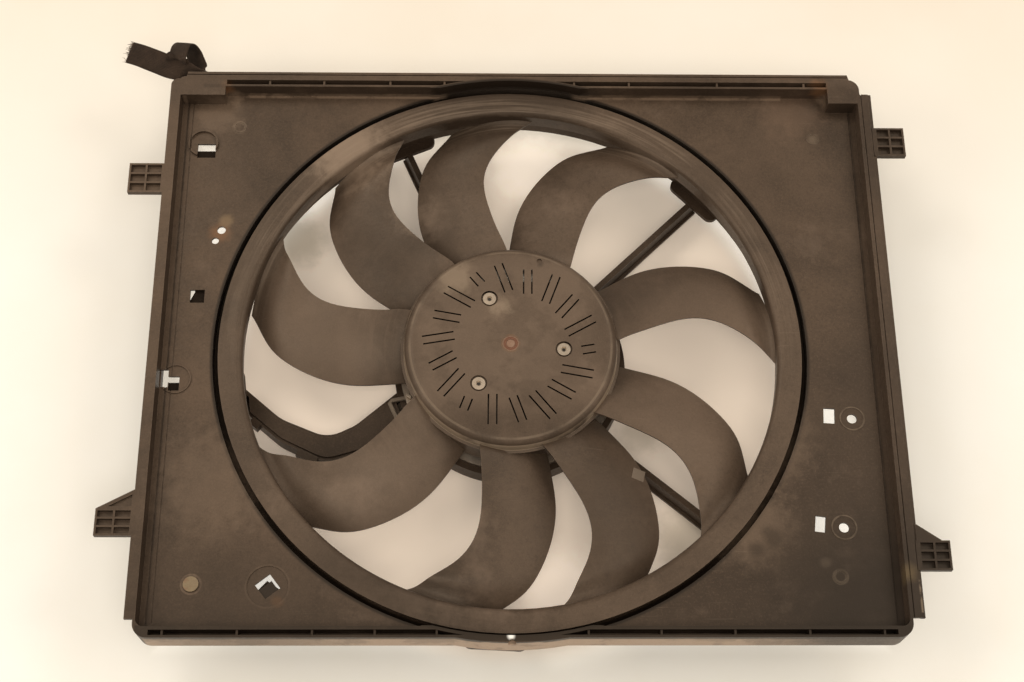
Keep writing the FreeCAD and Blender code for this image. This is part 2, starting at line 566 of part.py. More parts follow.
# ---------------------------------------------------------------- fan
hub_face = dim("hub_face", 80, "front face of the hub")
hub_r = dim("hub_radius", 87, "radius of the hub under its rounded edge")
hub_round = dim("hub_edge_round", 8, "rounding of the hub's front edge")
hub_lip_r = dim("hub_lip_radius", 90, "radius of the hub's lip")
hub_lip_z = dim("hub_lip_level", 66.3, "level of the hub's lip")
hub_rear = dim("hub_rear", 40, "rear edge of the hub")
hub_skin = dim("hub_skin", 2.5, "thickness of the hub's face and wall")
hub_bore = dim("hub_bore", 6.6, "central hole of the hub")
hub = turned("hub_shell", [(hub_bore, hub_face), (hub_r, hub_face), (hub_r + 0.6, hub_lip_z + 1.2),
                           (hub_lip_r, hub_lip_z + 0.3), (hub_lip_r, hub_lip_z - 0.9),
                           (hub_r + 1.4, hub_lip_z - 1.7), (hub_r + 1, hub_rear),
                           (hub_r + 1 - hub_skin, hub_rear), (hub_r - 1 - hub_skin, hub_face - 6.5),
                           (hub_r - 5.5 - hub_skin, hub_face - hub_skin), (hub_bore, hub_face - hub_skin)])
round_edge(hub, hub_r, hub_face, hub_round, "hub_face_round")

# ring that joins the blade tips, with a bell mouth at the front
ring_front = dim("ring_front", 76.6, "front face of the fan's ring")
tip_gap = dim("tip_gap", 4.6, "running gap round the fan's ring")
ring_width = dim("ring_width", 20.1, "width of the ring's flange, from the throat outwards")
throat_flare = dim("throat_flare", 1.7, "widening of the throat to its rear edge")
ring_flange_r = opening - tip_gap
throat_r = ring_flange_r - ring_width
throat_rear_r = throat_r + throat_flare
ring_rear = dim("ring_rear", 56, "rear edge of the fan's ring")
ring_skin = dim("ring_skin", 2.2, "thickness of the fan's ring")
mouth = dim("mouth_round", 5, "rounding of the bell mouth")
ring = turned("fan_ring", [(throat_r, ring_front), (ring_flange_r, ring_front),
                           (ring_flange_r, ring_front - ring_skin - 1.6),
                           (ring_flange_r - ring_skin, ring_front - ring_skin - 1.6),
                           (ring_flange_r - ring_skin - 0.4, ring_front - ring_skin),
                           (throat_r + ring_skin + 2.2, ring_front - ring_skin),
                           (throat_r + ring_skin + 0.2, ring_front - ring_skin - 4.5),
                           (throat_rear_r + ring_skin - 0.4, ring_rear), (throat_rear_r, ring_rear)])
round_edge(ring, throat_r, ring_front, mouth, "ring_mouth_round")

# one blade: thin curved sections at stations from the hub to the ring, lofted
camber_front = dim("camber_front", 130, "curvature of the blade's front side")
camber_rear = dim("camber_rear", 160, "curvature of the blade's rear side")
edge_t = dim("blade_edge_thickness", 1.9, "thickness of the blade's edges")
trail_z = dim("blade_trail_level", 46, "level of the trailing edge")
stations = []
for i, (where, lead, trail, lead_z) in enumerate((
        ("root", -6.4, 29.7, 71.0), ("low", -2.6, 27.9, 70.6), ("lower_middle", -0.5, 26.3, 68.9),
        ("middle", 0.3, 23.8, 67.8), ("upper_middle", -0.7, 20.5, 65.8), ("high", -3.9, 16.8, 65.2),
        ("near_tip", -8.6, 11.8, 65.6), ("tip", -15.2, 4.8, 66.0))):
    span = (83.5, 104, 124, 144, 163, 181, 199, 219.5)[i]
    stations.append((dim("blade_span_" + where, span, "distance of the %s section from the axis" % where),
                     dim("blade_lead_" + where, lead, "angle of the leading edge at the %s section" % where),
                     dim("blade_trail_" + where, trail,
                         "angle of the trailing edge at the %s section" % where),
                     dim("blade_front_" + where, lead_z,
                         "level of the leading edge at the %s section" % where)))


def blade_section(name, span, lead, trail, front):
    """A curved section on a plane square to the radius at the middle of the blade."""
    half = (trail - lead) / 2
    x = span * sind(half) / cosd(half)
    sk = doc.addObject("Sketcher::SketchObject", name)
    t = edge_t / 2
    corners = {"lt": (-x, front + t), "lb": (-x, front - t), "tt": (x, trail_z + t), "tb": (x, trail_z - t)}

    def arc(a, b, radius):
        """The arc from a to b, counter-clockwise, with its centre below the chord."""
        ax, ay, bx, by = (v.value for v in (*corners[a], *corners[b]))
        mx, my = (ax + bx) / 2, (ay + by) / 2
        dx, dy = bx - ax, by - ay
        chord = math.hypot(dx, dy)
        rise = math.sqrt(radius.value ** 2 - chord ** 2 / 4)
        cx, cy = mx - dy / chord * rise, my + dx / chord * rise
        circle = Part.Circle(FreeCAD.Vector(cx, cy, 0), FreeCAD.Vector(0, 0, 1), radius.value)
        return Part.ArcOfCircle(circle, math.atan2(ay - cy, ax - cx), math.atan2(by - cy, bx - cx))

    def v(a):
        return FreeCAD.Vector(corners[a][0].value, corners[a][1].value, 0)

    sk.addGeometry([arc("tt", "lt", camber_front), Part.LineSegment(v("lt"), v("lb")),
                    arc("tb", "lb", camber_rear), Part.LineSegment(v("tb"), v("tt"))], False)
    sk.addConstraint([Sketcher.Constraint("Coincident", 0, 2, 1, 1), Sketcher.Constraint("Coincident", 1, 2,
                                                                                         2, 2),
                      Sketcher.Constraint("Coincident", 2, 1, 3, 1), Sketcher.Constraint("Coincident", 3, 2,
                                                                                         0, 1)])
    for geo, point, key in ((0, 2, "lt"), (1, 2, "lb"), (0, 1, "tt"), (2, 1, "tb")):
        for kind, value in zip(("DistanceX", "DistanceY"), corners[key]):
            k = sk.addConstraint(Sketcher.Constraint(kind, -1, 1, geo, point, value.value))
            sk.setExpression("Constraints[%d]" % k, value.text)
    for geo, radius in ((0, camber_front), (2, camber_rear)):
        k = sk.addConstraint(Sketcher.Constraint("Radius", geo, radius.value))
        sk.setExpression("Constraints[%d]" % k, radius.text)
    # the sketch's x runs along the turn of the fan, its y along Z and its normal inwards
    mean = (lead + trail) / 2
    sk.Placement = FreeCAD.Placement(FreeCAD.Vector(span.value * math.cos(math.radians(mean.value)),
                                                    span.value * math.sin(math.radians(mean.value)), 0),
                                     FreeCAD.Rotation(mean.value + 90, 0, 90))
    bind(sk, "Placement.Base.x", span * cosd(mean))
    bind(sk, "Placement.Base.y", span * sind(mean))
    return sk


loft = doc.addObject("Part::Loft", "blade_loft")
loft.Sections = [blade_section("blade_section_%d" % (i + 1), *s) for i, s in enumerate(stations)]
loft.Solid = True
loft.Ruled = False
core = turned("blade_root_trim", [(0, hub_face + 5), (hub_r - 4, hub_face + 5), (hub_r - 0.6, hub_face - 8),
                                  (hub_r - 0.2, hub_rear - 10), (0, hub_rear - 10)])
tip_limit = cylinder("blade_tip_limit", throat_rear_r + 0.8, hub_rear - 5, hub_face)
blade = cut("blade", common("blade_tipped", loft, tip_limit), core)
# the blades stand in mirror image about one diameter, with uneven gaps that spread the fan's tone
axis_turn = dim("blade_axis_angle", 113.05, "angle of the diameter about which the blades are mirrored")
gap_a = dim("blade_offset_one", 15, "first pair of blades from the diameter")
gap_b = dim("blade_offset_two", 51.5, "second pair of blades from the diameter")
gap_c = dim("blade_offset_three", 102.5, "third pair of blades from the diameter")
gap_d = dim("blade_offset_four", 147, "fourth pair of blades from the diameter")
blades = copies("blade_copy", blade, [axis_turn + s * g for g in (gap_a, gap_b, gap_c, gap_d) for s in (-1,
                                                                                                        1)]
                + [axis_turn + 180])

# screw recesses in the hub face, with their bosses
screw_pcd = dim("hub_screw_radius", 43.5, "distance of the hub screws from the axis")
screw_turn = dim("hub_screw_angle", 113.4, "angle of the first hub screw")
recess_r = dim("hub_recess_radius", 6.9, "recess for each hub screw")
boss_r = dim("hub_boss_radius", 9, "boss under each recess")
seat_z = dim("hub_seat", 77, "level of the screw seats")
bell_top = dim("bell_top", 74, "front face of the rotor bell")
screw_r = dim("hub_screw_shank", 2.45, "shank radius of the hub screws")
slip = dim("screw_clearance", 0.1, "radial clearance of screws in their holes")
head_r = dim("hub_screw_head", 5.4, "head radius of the hub screws")
head_h = dim("hub_screw_head_height", 2.4, "head height of the hub screws")


def at(r, a):
    return q(r) * cosd(a), q(r) * sind(a)


hub_screw_at = [at(screw_pcd, screw_turn + 120 * i) for i in range(3)]
hub_bosses = [cylinder("hub_boss_%d" % (i + 1), boss_r, bell_top, hub_face - 0.5, *p)
              for i, p in enumerate(hub_screw_at)]
recesses = [cylinder("hub_recess_%d" % (i + 1), recess_r, seat_z, hub_face + 1, *p)
            for i, p in enumerate(hub_screw_at)]
hub_holes = [cylinder("hub_hole_%d" % (i + 1), screw_r + slip, bell_top - 1, hub_face, *p)
             for i, p in enumerate(hub_screw_at)]

# pairs of narrow slots in the hub face, every third screw sector alike
slot_w = dim("slot_width", 1.3, "width of the slots")
slot_gap = dim("slot_pair_spacing", 6.8, "spacing of the two slots of a pair")
slot_skew = dim("slot_skew", 14, "slant of the slots from the radius")
slot_first = dim("slot_first_angle", 95.5, "angle of the first pair of slots")
slot_step = dim("slot_step", 20, "angle between pairs of slots")
slot_in = dim("slot_inner", 46, "inner end of the long slots")
slot_out = dim("slot_outer", 72, "outer end of the long slots")
slot_mid_out = dim("slot_outer_medium", 68.3, "outer end of the medium slots")
slot_short_in = dim("slot_inner_short", 58, "inner end of the short slots")
slot_short_out = dim("slot_outer_short", 69, "outer end of the short slots")
slot_tools = []
for i in range(18):
    kind = ("long", "medium", "long", "medium", "long", "short")[i % 6]
    r0, r1 = {"long": (slot_in, slot_out), "medium": (slot_in, slot_mid_out),
              "short": (slot_short_in, slot_short_out)}[kind]
    angle = slot_first - slot_step * i
    for j, side in enumerate((-1, 1)):
        o = doc.addObject("Part::Box", "slot_%d_%d" % (i + 1, j + 1))
        for prop, size in (("Length", r1 - r0), ("Width", slot_w), ("Height", hub_skin + 4)):
            setattr(o, prop, size.value)
            bind(o, prop, size)
        mx, my = at((r0 + r1) / 2, angle)
        tilt = angle + slot_skew
        cx, cy = -(r1 - r0) / 2, slot_gap / 2 * side - slot_w / 2
        slot_tools.append(place(o, mx + cx * cosd(tilt) - cy * sind(tilt),
                                my + cx * sind(tilt) + cy * cosd(tilt),
                                hub_face - hub_skin - 1, tilt))
pin_r = dim("hub_pin_hole_radius", 2.2, "small hole near the edge of the hub")
pin_at = at(dim("hub_pin_hole_distance", 78, "small hole's distance from the axis"),
            dim("hub_pin_hole_angle", 72, "small hole's angle"))
pin_hole = cylinder("hub_pin_hole", pin_r, hub_face - 1.8, hub_face + 1, *pin_at)
fan_solid = fuse("fan_solid", [hub, ring] + hub_bosses + blades)
fan = cut("fan_part", fan_solid, fuse("fan_cuts", recesses + hub_holes + slot_tools + [pin_hole]))
part(fan, "fan")

# ---------------------------------------------------------------- rotor of the motor
shaft_r = dim("shaft_radius", 4, "shaft")
bell_r = dim("bell_radius", 76, "outer radius of the rotor bell")
bell_skin = dim("bell_skin", 2.2, "thickness of the rotor bell")
bell_rear = dim("bell_rear", 43, "open edge of the rotor bell")
bell_boss_z = dim("bell_boss_end", 64, "inner end of the bell's boss")
grip = dim("press_clearance", 0.01, "radial clearance of parts held fast on the shaft")
bell_raw = turned("bell_shell", [(shaft_r + grip, bell_top), (bell_r, bell_top), (bell_r, bell_rear),
                                 (bell_r - bell_skin, bell_rear),
                                 (bell_r - bell_skin, bell_top - bell_skin - 2),
                                 (bell_r - bell_skin - 2, bell_top - bell_skin), (9.5, bell_top - bell_skin),
                                 (8.5, bell_boss_z), (shaft_r + grip, bell_boss_z)])
bell_bosses = [cylinder("bell_boss_%d" % (i + 1), screw_r + 3, bell_top - 6, bell_top - 1, *p)
               for i, p in enumerate(hub_screw_at)]
bell_holes = [cylinder("bell_hole_%d" % (i + 1), screw_r + slip, bell_top - 7, bell_top + 1, *p)
              for i, p in enumerate(hub_screw_at)]
part(cut("bell_part", fuse("bell_solid", [bell_raw] + bell_bosses), fuse("bell_hole_set", bell_holes)),
     "rotor_bell")

screws = []
for i, p in enumerate(hub_screw_at):
    head = cylinder("hub_screw_head_%d" % (i + 1), head_r, seat_z, seat_z + head_h, *p)
    socket = cylinder("hub_screw_socket_%d" % (i + 1), head_r * 0.42, seat_z + head_h * 0.45,
                      seat_z + head_h + 1, *p)
    shank = cylinder("hub_screw_shank_%d" % (i + 1), screw_r, bell_top - 5.5, seat_z, *p)
    screws.append(fuse("hub_screw_%d" % (i + 1), [cut("hub_screw_cap_%d" % (i + 1), head, socket), shank]))
hub_screws = doc.addObject("Part::Compound", "hub_screw_set")
hub_screws.Links = screws
part(hub_screws, "fan_screws")

magnet_t = dim("magnet_thickness", 4.5, "radial thickness of the magnet ring")
magnet_gap = dim("magnet_glue", 0.05, "glue gap behind the magnet ring")
magnet_z0 = dim("magnet_rear", 45, "rear edge of the magnet ring")
magnet_z1 = dim("magnet_front", 68, "front edge of the magnet ring")
magnet_out = bell_r - bell_skin - magnet_gap
part(cut("magnet_part", cylinder("magnet_outer", magnet_out, magnet_z0, magnet_z1),
         cylinder("magnet_inner", magnet_out - magnet_t, magnet_z0 - 1, magnet_z1 + 1)), "magnet_ring")

clip_z = dim("clip_level", 25.6, "rear face of the retaining ring")
clip_t = dim("clip_thickness", 1.2, "thickness of the retaining ring")
groove_r = dim("clip_groove_radius", 3.5, "bottom of the groove for the retaining ring")
shaft_rear = dim("shaft_rear", 22.8, "rear end of the shaft")
shaft_front = dim("shaft_front", 79.6, "front end of the shaft")
side = dim("clip_side_clearance", 0.05, "side clearance of the retaining ring in its groove")
part(turned("shaft_part", [(0, shaft_rear), (shaft_r - 0.5, shaft_rear), (shaft_r, shaft_rear + 0.5),
                           (shaft_r, clip_z - side), (groove_r, clip_z - side),
                           (groove_r, clip_z + clip_t + side),
                           (shaft_r, clip_z + clip_t + side), (shaft_r, shaft_front - 0.7),
                           (shaft_r - 0.7, shaft_front), (0, shaft_front)]), "motor_shaft")
clip_ring = cut("clip_ring", cylinder("clip_outer", 6.6, clip_z, clip_z + clip_t),
                cylinder("clip_inner", groove_r + 0.05, clip_z - 1, clip_z + clip_t + 1))
part(cut("clip_part", clip_ring, box("clip_mouth", 0, 8, -1.8, 1.8, clip_z - 1, clip_z + clip_t + 1)),
     "retaining_ring")

# ---------------------------------------------------------------- stationary parts of the motor
bearing_r = dim("bearing_radius", 11, "outer radius of the bearings")
bearing_w = dim("bearing_width", 7, "width of the bearings")
bearing_run = dim("bearing_clearance", 0.02, "radial running clearance of the shaft in the bearings")
bearing_fit = dim("bearing_fit", 0.01, "radial clearance of the bearings in their seats")
front_seat = dim("front_bearing_seat", 55, "shoulder under the front bearing")
rear_seat = dim("rear_bearing_seat", 35, "shoulder over the rear bearing")
end_play = dim("end_play", 0.3, "axial clearance between turning and fixed parts")


def bearing(name, z0):
    """A ball bearing as one ring, with the shields set back between its rings."""
    return turned(name, [(shaft_r + bearing_run, z0), (shaft_r + 2, z0), (shaft_r + 2, z0 + 0.5),
                         (bearing_r - 2, z0 + 0.5), (bearing_r - 2, z0), (bearing_r, z0),
                         (bearing_r, z0 + bearing_w), (bearing_r - 2, z0 + bearing_w),
                         (bearing_r - 2, z0 + bearing_w - 0.5), (shaft_r + 2, z0 + bearing_w - 0.5),
                         (shaft_r + 2, z0 + bearing_w), (shaft_r + bearing_run, z0 + bearing_w)])


part(bearing("front_bearing_part", front_seat), "front_bearing")
part(bearing("rear_bearing_part", rear_seat - bearing_w), "rear_bearing")
wash = cut("washer_ring", cylinder("washer_outer", 7.2, front_seat + bearing_w + end_play, bell_boss_z),
           cylinder("washer_inner", shaft_r + grip * 5, front_seat + bearing_w, bell_boss_z + 1))
part(wash, "spring_washer")

flange_z = dim("flange_seat", 28, "front face of the carrier ring, under the motor flange")
flange_t = dim("flange_thickness", 4, "thickness of the motor flange")
flange_r = dim("flange_radius", 92, "radius of the motor flange")
case_r = dim("case_radius", 79, "radius of the motor case")
cover_t = dim("cover_thickness", 4.2, "thickness of the rear cover")
cavity_r = dim("cavity_radius", 68, "radius of the electronics bay")
board_seat = dim("board_seat", 12.5, "shoulder that carries the control board")
bay_roof = dim("bay_roof", 22, "roof of the electronics bay")
tube_r = dim("bearing_tube_radius", 15, "bearing tube")
tube_z = dim("bearing_tube_end", 61.6, "front end of the bearing tube")
seat_r = bearing_r + bearing_fit
case = turned("case_shell", [(seat_r, bay_roof), (cavity_r - 6, bay_roof), (cavity_r - 6, board_seat),
                             (cavity_r, board_seat), (cavity_r, cover_t), (case_r, cover_t),
                             (case_r, flange_z),
                             (flange_r, flange_z), (flange_r, flange_z + flange_t),
                             (tube_r + 4, flange_z + flange_t),
                             (tube_r, flange_z + flange_t + 6), (tube_r, tube_z), (seat_r, tube_z),
                             (seat_r, front_seat), (bearing_r - 2, front_seat), (bearing_r - 2, rear_seat),
                             (seat_r, rear_seat)])
mount_pcd = dim("motor_screw_radius", 86, "distance of the motor screws from the axis")
mount_turn = dim("motor_screw_angle", 78, "angle of the first motor screw")
mount_r = dim("motor_screw_shank", 2.4, "shank radius of the motor screws")
mount_at = [at(mount_pcd, mount_turn + 120 * i) for i in range(3)]
cover_pcd = dim("cover_screw_radius", 74.6, "distance of the cover screws from the axis")
cover_turn = dim("cover_screw_angle", 45, "angle of the first cover screw")
cover_sr = dim("cover_screw_shank", 1.4, "shank radius of the cover screws")
cover_at = [at(cover_pcd, cover_turn + 90 * i) for i in range(4)]
case_cuts = [cylinder("case_hole_%d" % (i + 1), mount_r + slip, flange_z - 1, flange_z + flange_t + 1, *p)
             for i, p in enumerate(mount_at)]
case_cuts += [cylinder("cover_thread_%d" % (i + 1), cover_sr + slip / 2, cover_t - 1, cover_t + 9, *p)
              for i, p in enumerate(cover_at)]
part(cut("case_part", case, fuse("case_cut_set", case_cuts)), "motor_case")

# stator: twelve teeth round a hub pressed on the bearing tube, each with a coil
air_gap = dim("air_gap", 1, "gap between the stator and the magnets")
core_z0 = dim("core_rear", 47, "rear face of the stator core")
core_z1 = dim("core_front", 66, "front face of the stator core")
core_in = dim("core_hub_radius", 30, "radius of the stator's hub")
tooth_w = dim("tooth_width", 8, "width of a stator tooth")
tip_t = dim("tooth_tip_thickness", 4, "thickness of the tooth tips")
tooth_n = 12
core_out = magnet_out - magnet_t - air_gap
tip_ring = cut("tip_ring", cylinder("tip_outer", core_out, core_z0, core_z1),
               cylinder("tip_inner", core_out - tip_t, core_z0 - 1, core_z1 + 1))
slot_mouth = dim("slot_mouth", 4, "gap between two tooth tips")
mouths = [box("mouth_%d" % (i + 1), core_out - tip_t - 2, core_out + 2, -slot_mouth / 2, slot_mouth / 2,
              core_z0 - 1, core_z1 + 1, 15 + 30 * i) for i in range(tooth_n)]
teeth = [box("tooth_%d" % (i + 1), core_in - 3, core_out - tip_t + 1, -tooth_w / 2, tooth_w / 2,
             core_z0, core_z1, 30 * i) for i in range(tooth_n)]
core_solid = fuse("core_solid", [cut("tooth_tips", tip_ring, fuse("mouth_set", mouths)),
                                 cylinder("core_hub", core_in, core_z0, core_z1)] + teeth)
part(cut("core_part", core_solid, cylinder("core_bore", tube_r + bearing_fit, core_z0 - 1, core_z1 + 1)),
     "stator_core")
coil_gap = dim("coil_clearance", 0.3, "clearance of the coils about the teeth")
coil_t = dim("coil_thickness", 3.2, "thickness of the coils")
coil_in = dim("coil_inner", 33, "inner end of the coils")
coil_out = dim("coil_outer", 62, "outer end of the coils")
coils = [box("coil_%d" % (i + 1), coil_in, coil_out, -tooth_w / 2 - coil_gap - coil_t,
             tooth_w / 2 + coil_gap + coil_t,
             core_z0 - coil_gap - coil_t, core_z1 + coil_gap + 1.6, 30 * i) for i in range(tooth_n)]
coil_link = cut("coil_link", cylinder("coil_link_outer", coil_in + 8, core_z0 - coil_gap - coil_t,
                                      core_z0 - coil_gap),
                cylinder("coil_link_inner", coil_in, core_z0 - 10, core_z0 + 1))
coil_holes = [box("coil_hole_%d" % (i + 1), coil_in - 1, coil_out + 1, -tooth_w / 2 - coil_gap,
                  tooth_w / 2 + coil_gap,
                  core_z0 - coil_gap, core_z1 + coil_gap, 30 * i) for i in range(tooth_n)]
part(cut("coil_part", fuse("coil_solid", coils + [coil_link]), fuse("coil_hole_set", coil_holes)),
     "stator_windings")

# electronics and rear cover
board_t = dim("board_thickness", 1.6, "thickness of the control board")
board = cylinder("board_plate", cavity_r - 0.3, board_seat - board_t, board_seat)
board_parts = [cylinder("capacitor_%d" % (i + 1), 6, board_seat - 0.5, board_seat + 8, *at(42, 20 + 28 * i))
               for i in range(3)]
board_parts += [box("switch_%d" % (i + 1), 30, 44, -5, 5, board_seat - 0.5, board_seat + 3, 130 + 32 * i)
                for i in range(6)]
board_parts += [box("controller", -12, 8, -14, 6, board_seat - board_t - 2, board_seat - 1),
                box("choke", 18, 36, -30, -14, board_seat - 0.5, board_seat + 8)]
part(fuse("board_part", [board] + board_parts), "control_board")
seal_r = dim("seal_radius", 70.2, "middle radius of the cover's seal")
seal_w = dim("seal_width", 1.4, "width of the seal")
seal_gap = dim("seal_clearance", 0.3, "clearance about the seal")
seal_d = dim("seal_groove_depth", 1.5, "depth of the groove for the seal")
cover_head_r = dim("cover_screw_head", 2.7, "head radius of the cover screws")
cover_cuts = [cut("seal_groove", cylinder("seal_groove_outer", seal_r + seal_w / 2 + seal_gap,
                                          cover_t - seal_d, cover_t + 1),
                  cylinder("seal_groove_inner", seal_r - seal_w / 2 - seal_gap, cover_t - seal_d - 1,
                           cover_t + 2))]
for i, p in enumerate(cover_at):
    cover_cuts += [cylinder("cover_hole_%d" % (i + 1), cover_sr + slip, -1, cover_t + 1, *p),
                   cylinder("cover_sink_%d" % (i + 1), cover_head_r + 0.4, -1, 2.2, *p)]
part(cut("cover_part", cylinder("cover_disc", case_r, 0, cover_t), fuse("cover_cut_set", cover_cuts)),
     "rear_cover")
part(cut("seal_part", cylinder("seal_outer", seal_r + seal_w / 2, cover_t - seal_d + seal_gap,
                               cover_t - seal_gap),
         cylinder("seal_inner", seal_r - seal_w / 2, 0, cover_t + 1)), "cover_seal")


def screw_set(name, label, places, shank_r, z_tip, z_seat, head_r, z_head):
    """Screws with hexagon sockets, from the seat to the tip; the head lies on the other side of the seat."""
    out = []
    z_tip, z_seat, z_head = q(z_tip), q(z_seat), q(z_head)
    up = z_head.value > z_seat.value
    low, high = (z_seat, z_head) if up else (z_head, z_seat)
    deep = (high - low) * 0.55
    for i, p in enumerate(places):
        head = cylinder("%s_head_%d" % (name, i + 1), head_r, low, high, *p)
        sock = cylinder("%s_socket_%d" % (name, i + 1), head_r * 0.45,
                        *((high - deep, high + 1) if up else (low - 1, low + deep)), *p)
        a, b = (z_tip, z_seat) if up else (z_seat, z_tip)
        out.append(fuse("%s_%d" % (name, i + 1), [cut("%s_cap_%d" % (name, i + 1), head, sock),
                                                  cylinder("%s_shank_%d" % (name, i + 1), shank_r, a, b,
                                                           *p)]))
    group = doc.addObject("Part::Compound", name + "_set")
    group.Links = out
    return part(group, label)


screw_set("cover_screw", "cover_screws", cover_at, cover_sr, cover_t + 8, q(2.2), cover_head_r, q(0.2))
screw_set("motor_screw", "motor_screws", mount_at, mount_r, flange_z - 12, flange_z + flange_t, 4.4,
          flange_z + flange_t + 3)

# ---------------------------------------------------------------- carrier: ring, arms and cable duct
carrier_z0 = dim("carrier_rear", 9, "rear face of the carrier")
carrier_in = dim("carrier_ring_inner", 80.2, "inner radius of the carrier ring")
carrier_out = dim("carrier_ring_outer", 97, "outer radius of the carrier ring")
foot_t = dim("foot_thickness", 4, "thickness of the feet")
foot_w = dim("foot_width", 52, "width of the feet")
foot_in = dim("foot_inner", 221, "inner side of the feet")
foot_out = dim("foot_outer", 239.6, "outer side of the feet")
foot_round = dim("foot_round", 7, "rounding of the feet")
arm_w = dim("arm_width", 5, "front rib of the arms")
arm_base_w = dim("arm_base_width", 9.5, "base flange of the arms")
arm_base_t = dim("arm_base_thickness", 3, "thickness of the arms' base flange")
arm_turns = [dim("arm_angle_one", 44.3, "first arm"), dim("arm_angle_two", 113.4, "second arm"),
             dim("arm_angle_three", 267, "third arm"), dim("arm_angle_four", -39.8, "fourth arm")]
duct_turn = dim("duct_foot_angle", 187.2, "foot of the cable duct")
foot_turns = arm_turns + [duct_turn]
foot_bolt = dim("foot_bolt_spacing", 18, "screws of a foot from its middle")
foot_bolt_r = dim("foot_bolt_radius", 235.2, "distance of the foot screws from the axis")
foot_bolt_shank = dim("foot_bolt_shank", 1.9, "shank radius of the foot screws")
carrier_ring = cut("carrier_ring", cylinder("carrier_outer", carrier_out, carrier_z0, flange_z),
                   cylinder("carrier_inner", carrier_in, carrier_z0 - 1, flange_z + 1))
arms = []
for i, a in enumerate(arm_turns):
    arms += [box("arm_%d" % (i + 1), carrier_out - 3, foot_in + 8, -arm_w / 2, arm_w / 2, carrier_z0 + 1,
                 barrel_z - 1.5, a),
             box("arm_base_%d" % (i + 1), carrier_out - 3, foot_in + 6, -arm_base_w / 2, arm_base_w / 2,
                 carrier_z0 + 1, carrier_z0 + 1 + arm_base_t, a)]
feet = [slab("foot_%d" % (i + 1), [(foot_in, -foot_w / 2), (foot_out, -foot_w / 2), (foot_out, foot_w / 2),
                                   (foot_in, foot_w / 2)], barrel_z - foot_t, barrel_z,
             [(0, foot_round), (1, foot_round), (2, foot_round), (3, foot_round)], a)
        for i, a in enumerate(foot_turns)]


def foot_point(a, side):
    c, s = cosd(a), sind(a)
    return foot_bolt_r * c - foot_bolt * side * s, foot_bolt_r * s + foot_bolt * side * c


bolt_at = [foot_point(a, s) for a in foot_turns for s in (-1, 1)]
# the duct runs from the ring to its foot in a bent line
duct_outline = [(-82, -46), (-112, -72), (-152, -84), (-190, -65.5), (-233, -29),
                (-227, -14), (-190, -46), (-150.5, -62.5), (-128, -51.5), (-88, -17)]
duct_out = [(dim("duct_x_%s" % w, -x, "outline of the duct, left of the axis"),
             dim("duct_y_%s" % w, -y, "outline of the duct, below the axis"))
            for w, (x, y) in zip(("one", "two", "three", "four", "five", "six", "seven", "eight", "nine",
                                  "ten"),
                                 duct_outline)]
duct_front = dim("duct_front", 26, "front edge of the duct's walls")
duct_floor = dim("duct_floor", 3, "floor of the duct")
duct_wall = dim("duct_wall", 3.4, "walls of the duct")
duct_rounds = [(1, 20), (2, 26), (3, 40), (6, 40), (7, 26), (8, 30)]
duct = slab("duct_solid", [(-x, -y) for x, y in duct_out], carrier_z0, duct_front, duct_rounds)


def inset(points, d):
    """The same outline moved inwards by d on its long sides; the ends are pulled in too."""
    out = []
    n = len(points)
    for i in range(n):
        (ax, ay), (bx, by), (cx, cy) = points[i - 1], points[i], points[(i + 1) % n]
        u = math.atan2(by.value - ay.value, bx.value - ax.value)
        v = math.atan2(cy.value - by.value, cx.value - bx.value)
        turn = (v - u + math.pi) % (2 * math.pi) - math.pi
        mid = (u + turn / 2) + math.pi / 2
        reach = 1 / math.cos(turn / 2)
        out.append((bx + d * (reach * math.cos(mid)), by + d * (reach * math.sin(mid))))
    return out


duct_pts = [(-x, -y) for x, y in duct_out]
flip = 1 if sum(duct_pts[i - 1][0].value * duct_pts[i][1].value - duct_pts[i][0].value * duct_pts[i - 1][1].value
                for i in range(len(duct_pts))) > 0 else -1
channel = slab("duct_channel", inset(duct_pts, duct_wall * flip), carrier_z0 + duct_floor, duct_front + 1,
               [(1, 18), (2, 24), (3, 38), (6, 38), (7, 24), (8, 28)])
clip_len = dim("duct_clip_length", 9, "length of the duct's clips")
clip_w = dim("duct_clip_width", 3.2, "reach of the duct's clips beyond its wall")
clip_at = [(dim("duct_clip_x_%s" % w, x, "duct clip, left of the axis"),
            dim("duct_clip_y_%s" % w, y, "duct clip, below the axis"), turn)
           for w, x, y, turn in (("one", 211, 50, -40), ("two", 171, 77, -26), ("three", 163, 81, -24))]
duct_clips = [centred_box("duct_clip_%d" % (i + 1), -x, -y, clip_len, clip_w * 2, duct_front - 7,
                          duct_front + 1.5, turn) for i, (x, y, turn) in enumerate(clip_at)]
duct_end_trim = cylinder("duct_end_trim", carrier_in, carrier_z0 - 1, flange_z + 1)
barrel_clear = cut("barrel_clear", cylinder("barrel_clear_outer", foot_out + 20, carrier_z0 - 1,
                                            flange_z + 10),
                   cylinder("barrel_clear_inner", barrel_r - 1.5, carrier_z0 - 2, flange_z + 11))
duct_trimmed = cut("duct_trimmed", duct, fuse("duct_trim", [duct_end_trim, barrel_clear]))
carrier_raw = fuse("carrier_solid", [carrier_ring, duct_trimmed] + duct_clips + arms + feet)
lead_gate = cylinder("channel_ring_keep", carrier_out - 4, carrier_z0 - 2, flange_z + 2)
foot_keep = cut("channel_foot_keep", cylinder("foot_keep_outer", foot_out + 25, carrier_z0 - 2,
                                              duct_front + 8),
                cylinder("foot_keep_inner", barrel_r - 5, carrier_z0 - 3, duct_front + 9))
channel_cut = cut("channel_cut", channel, fuse("channel_limits", [lead_gate, foot_keep]))
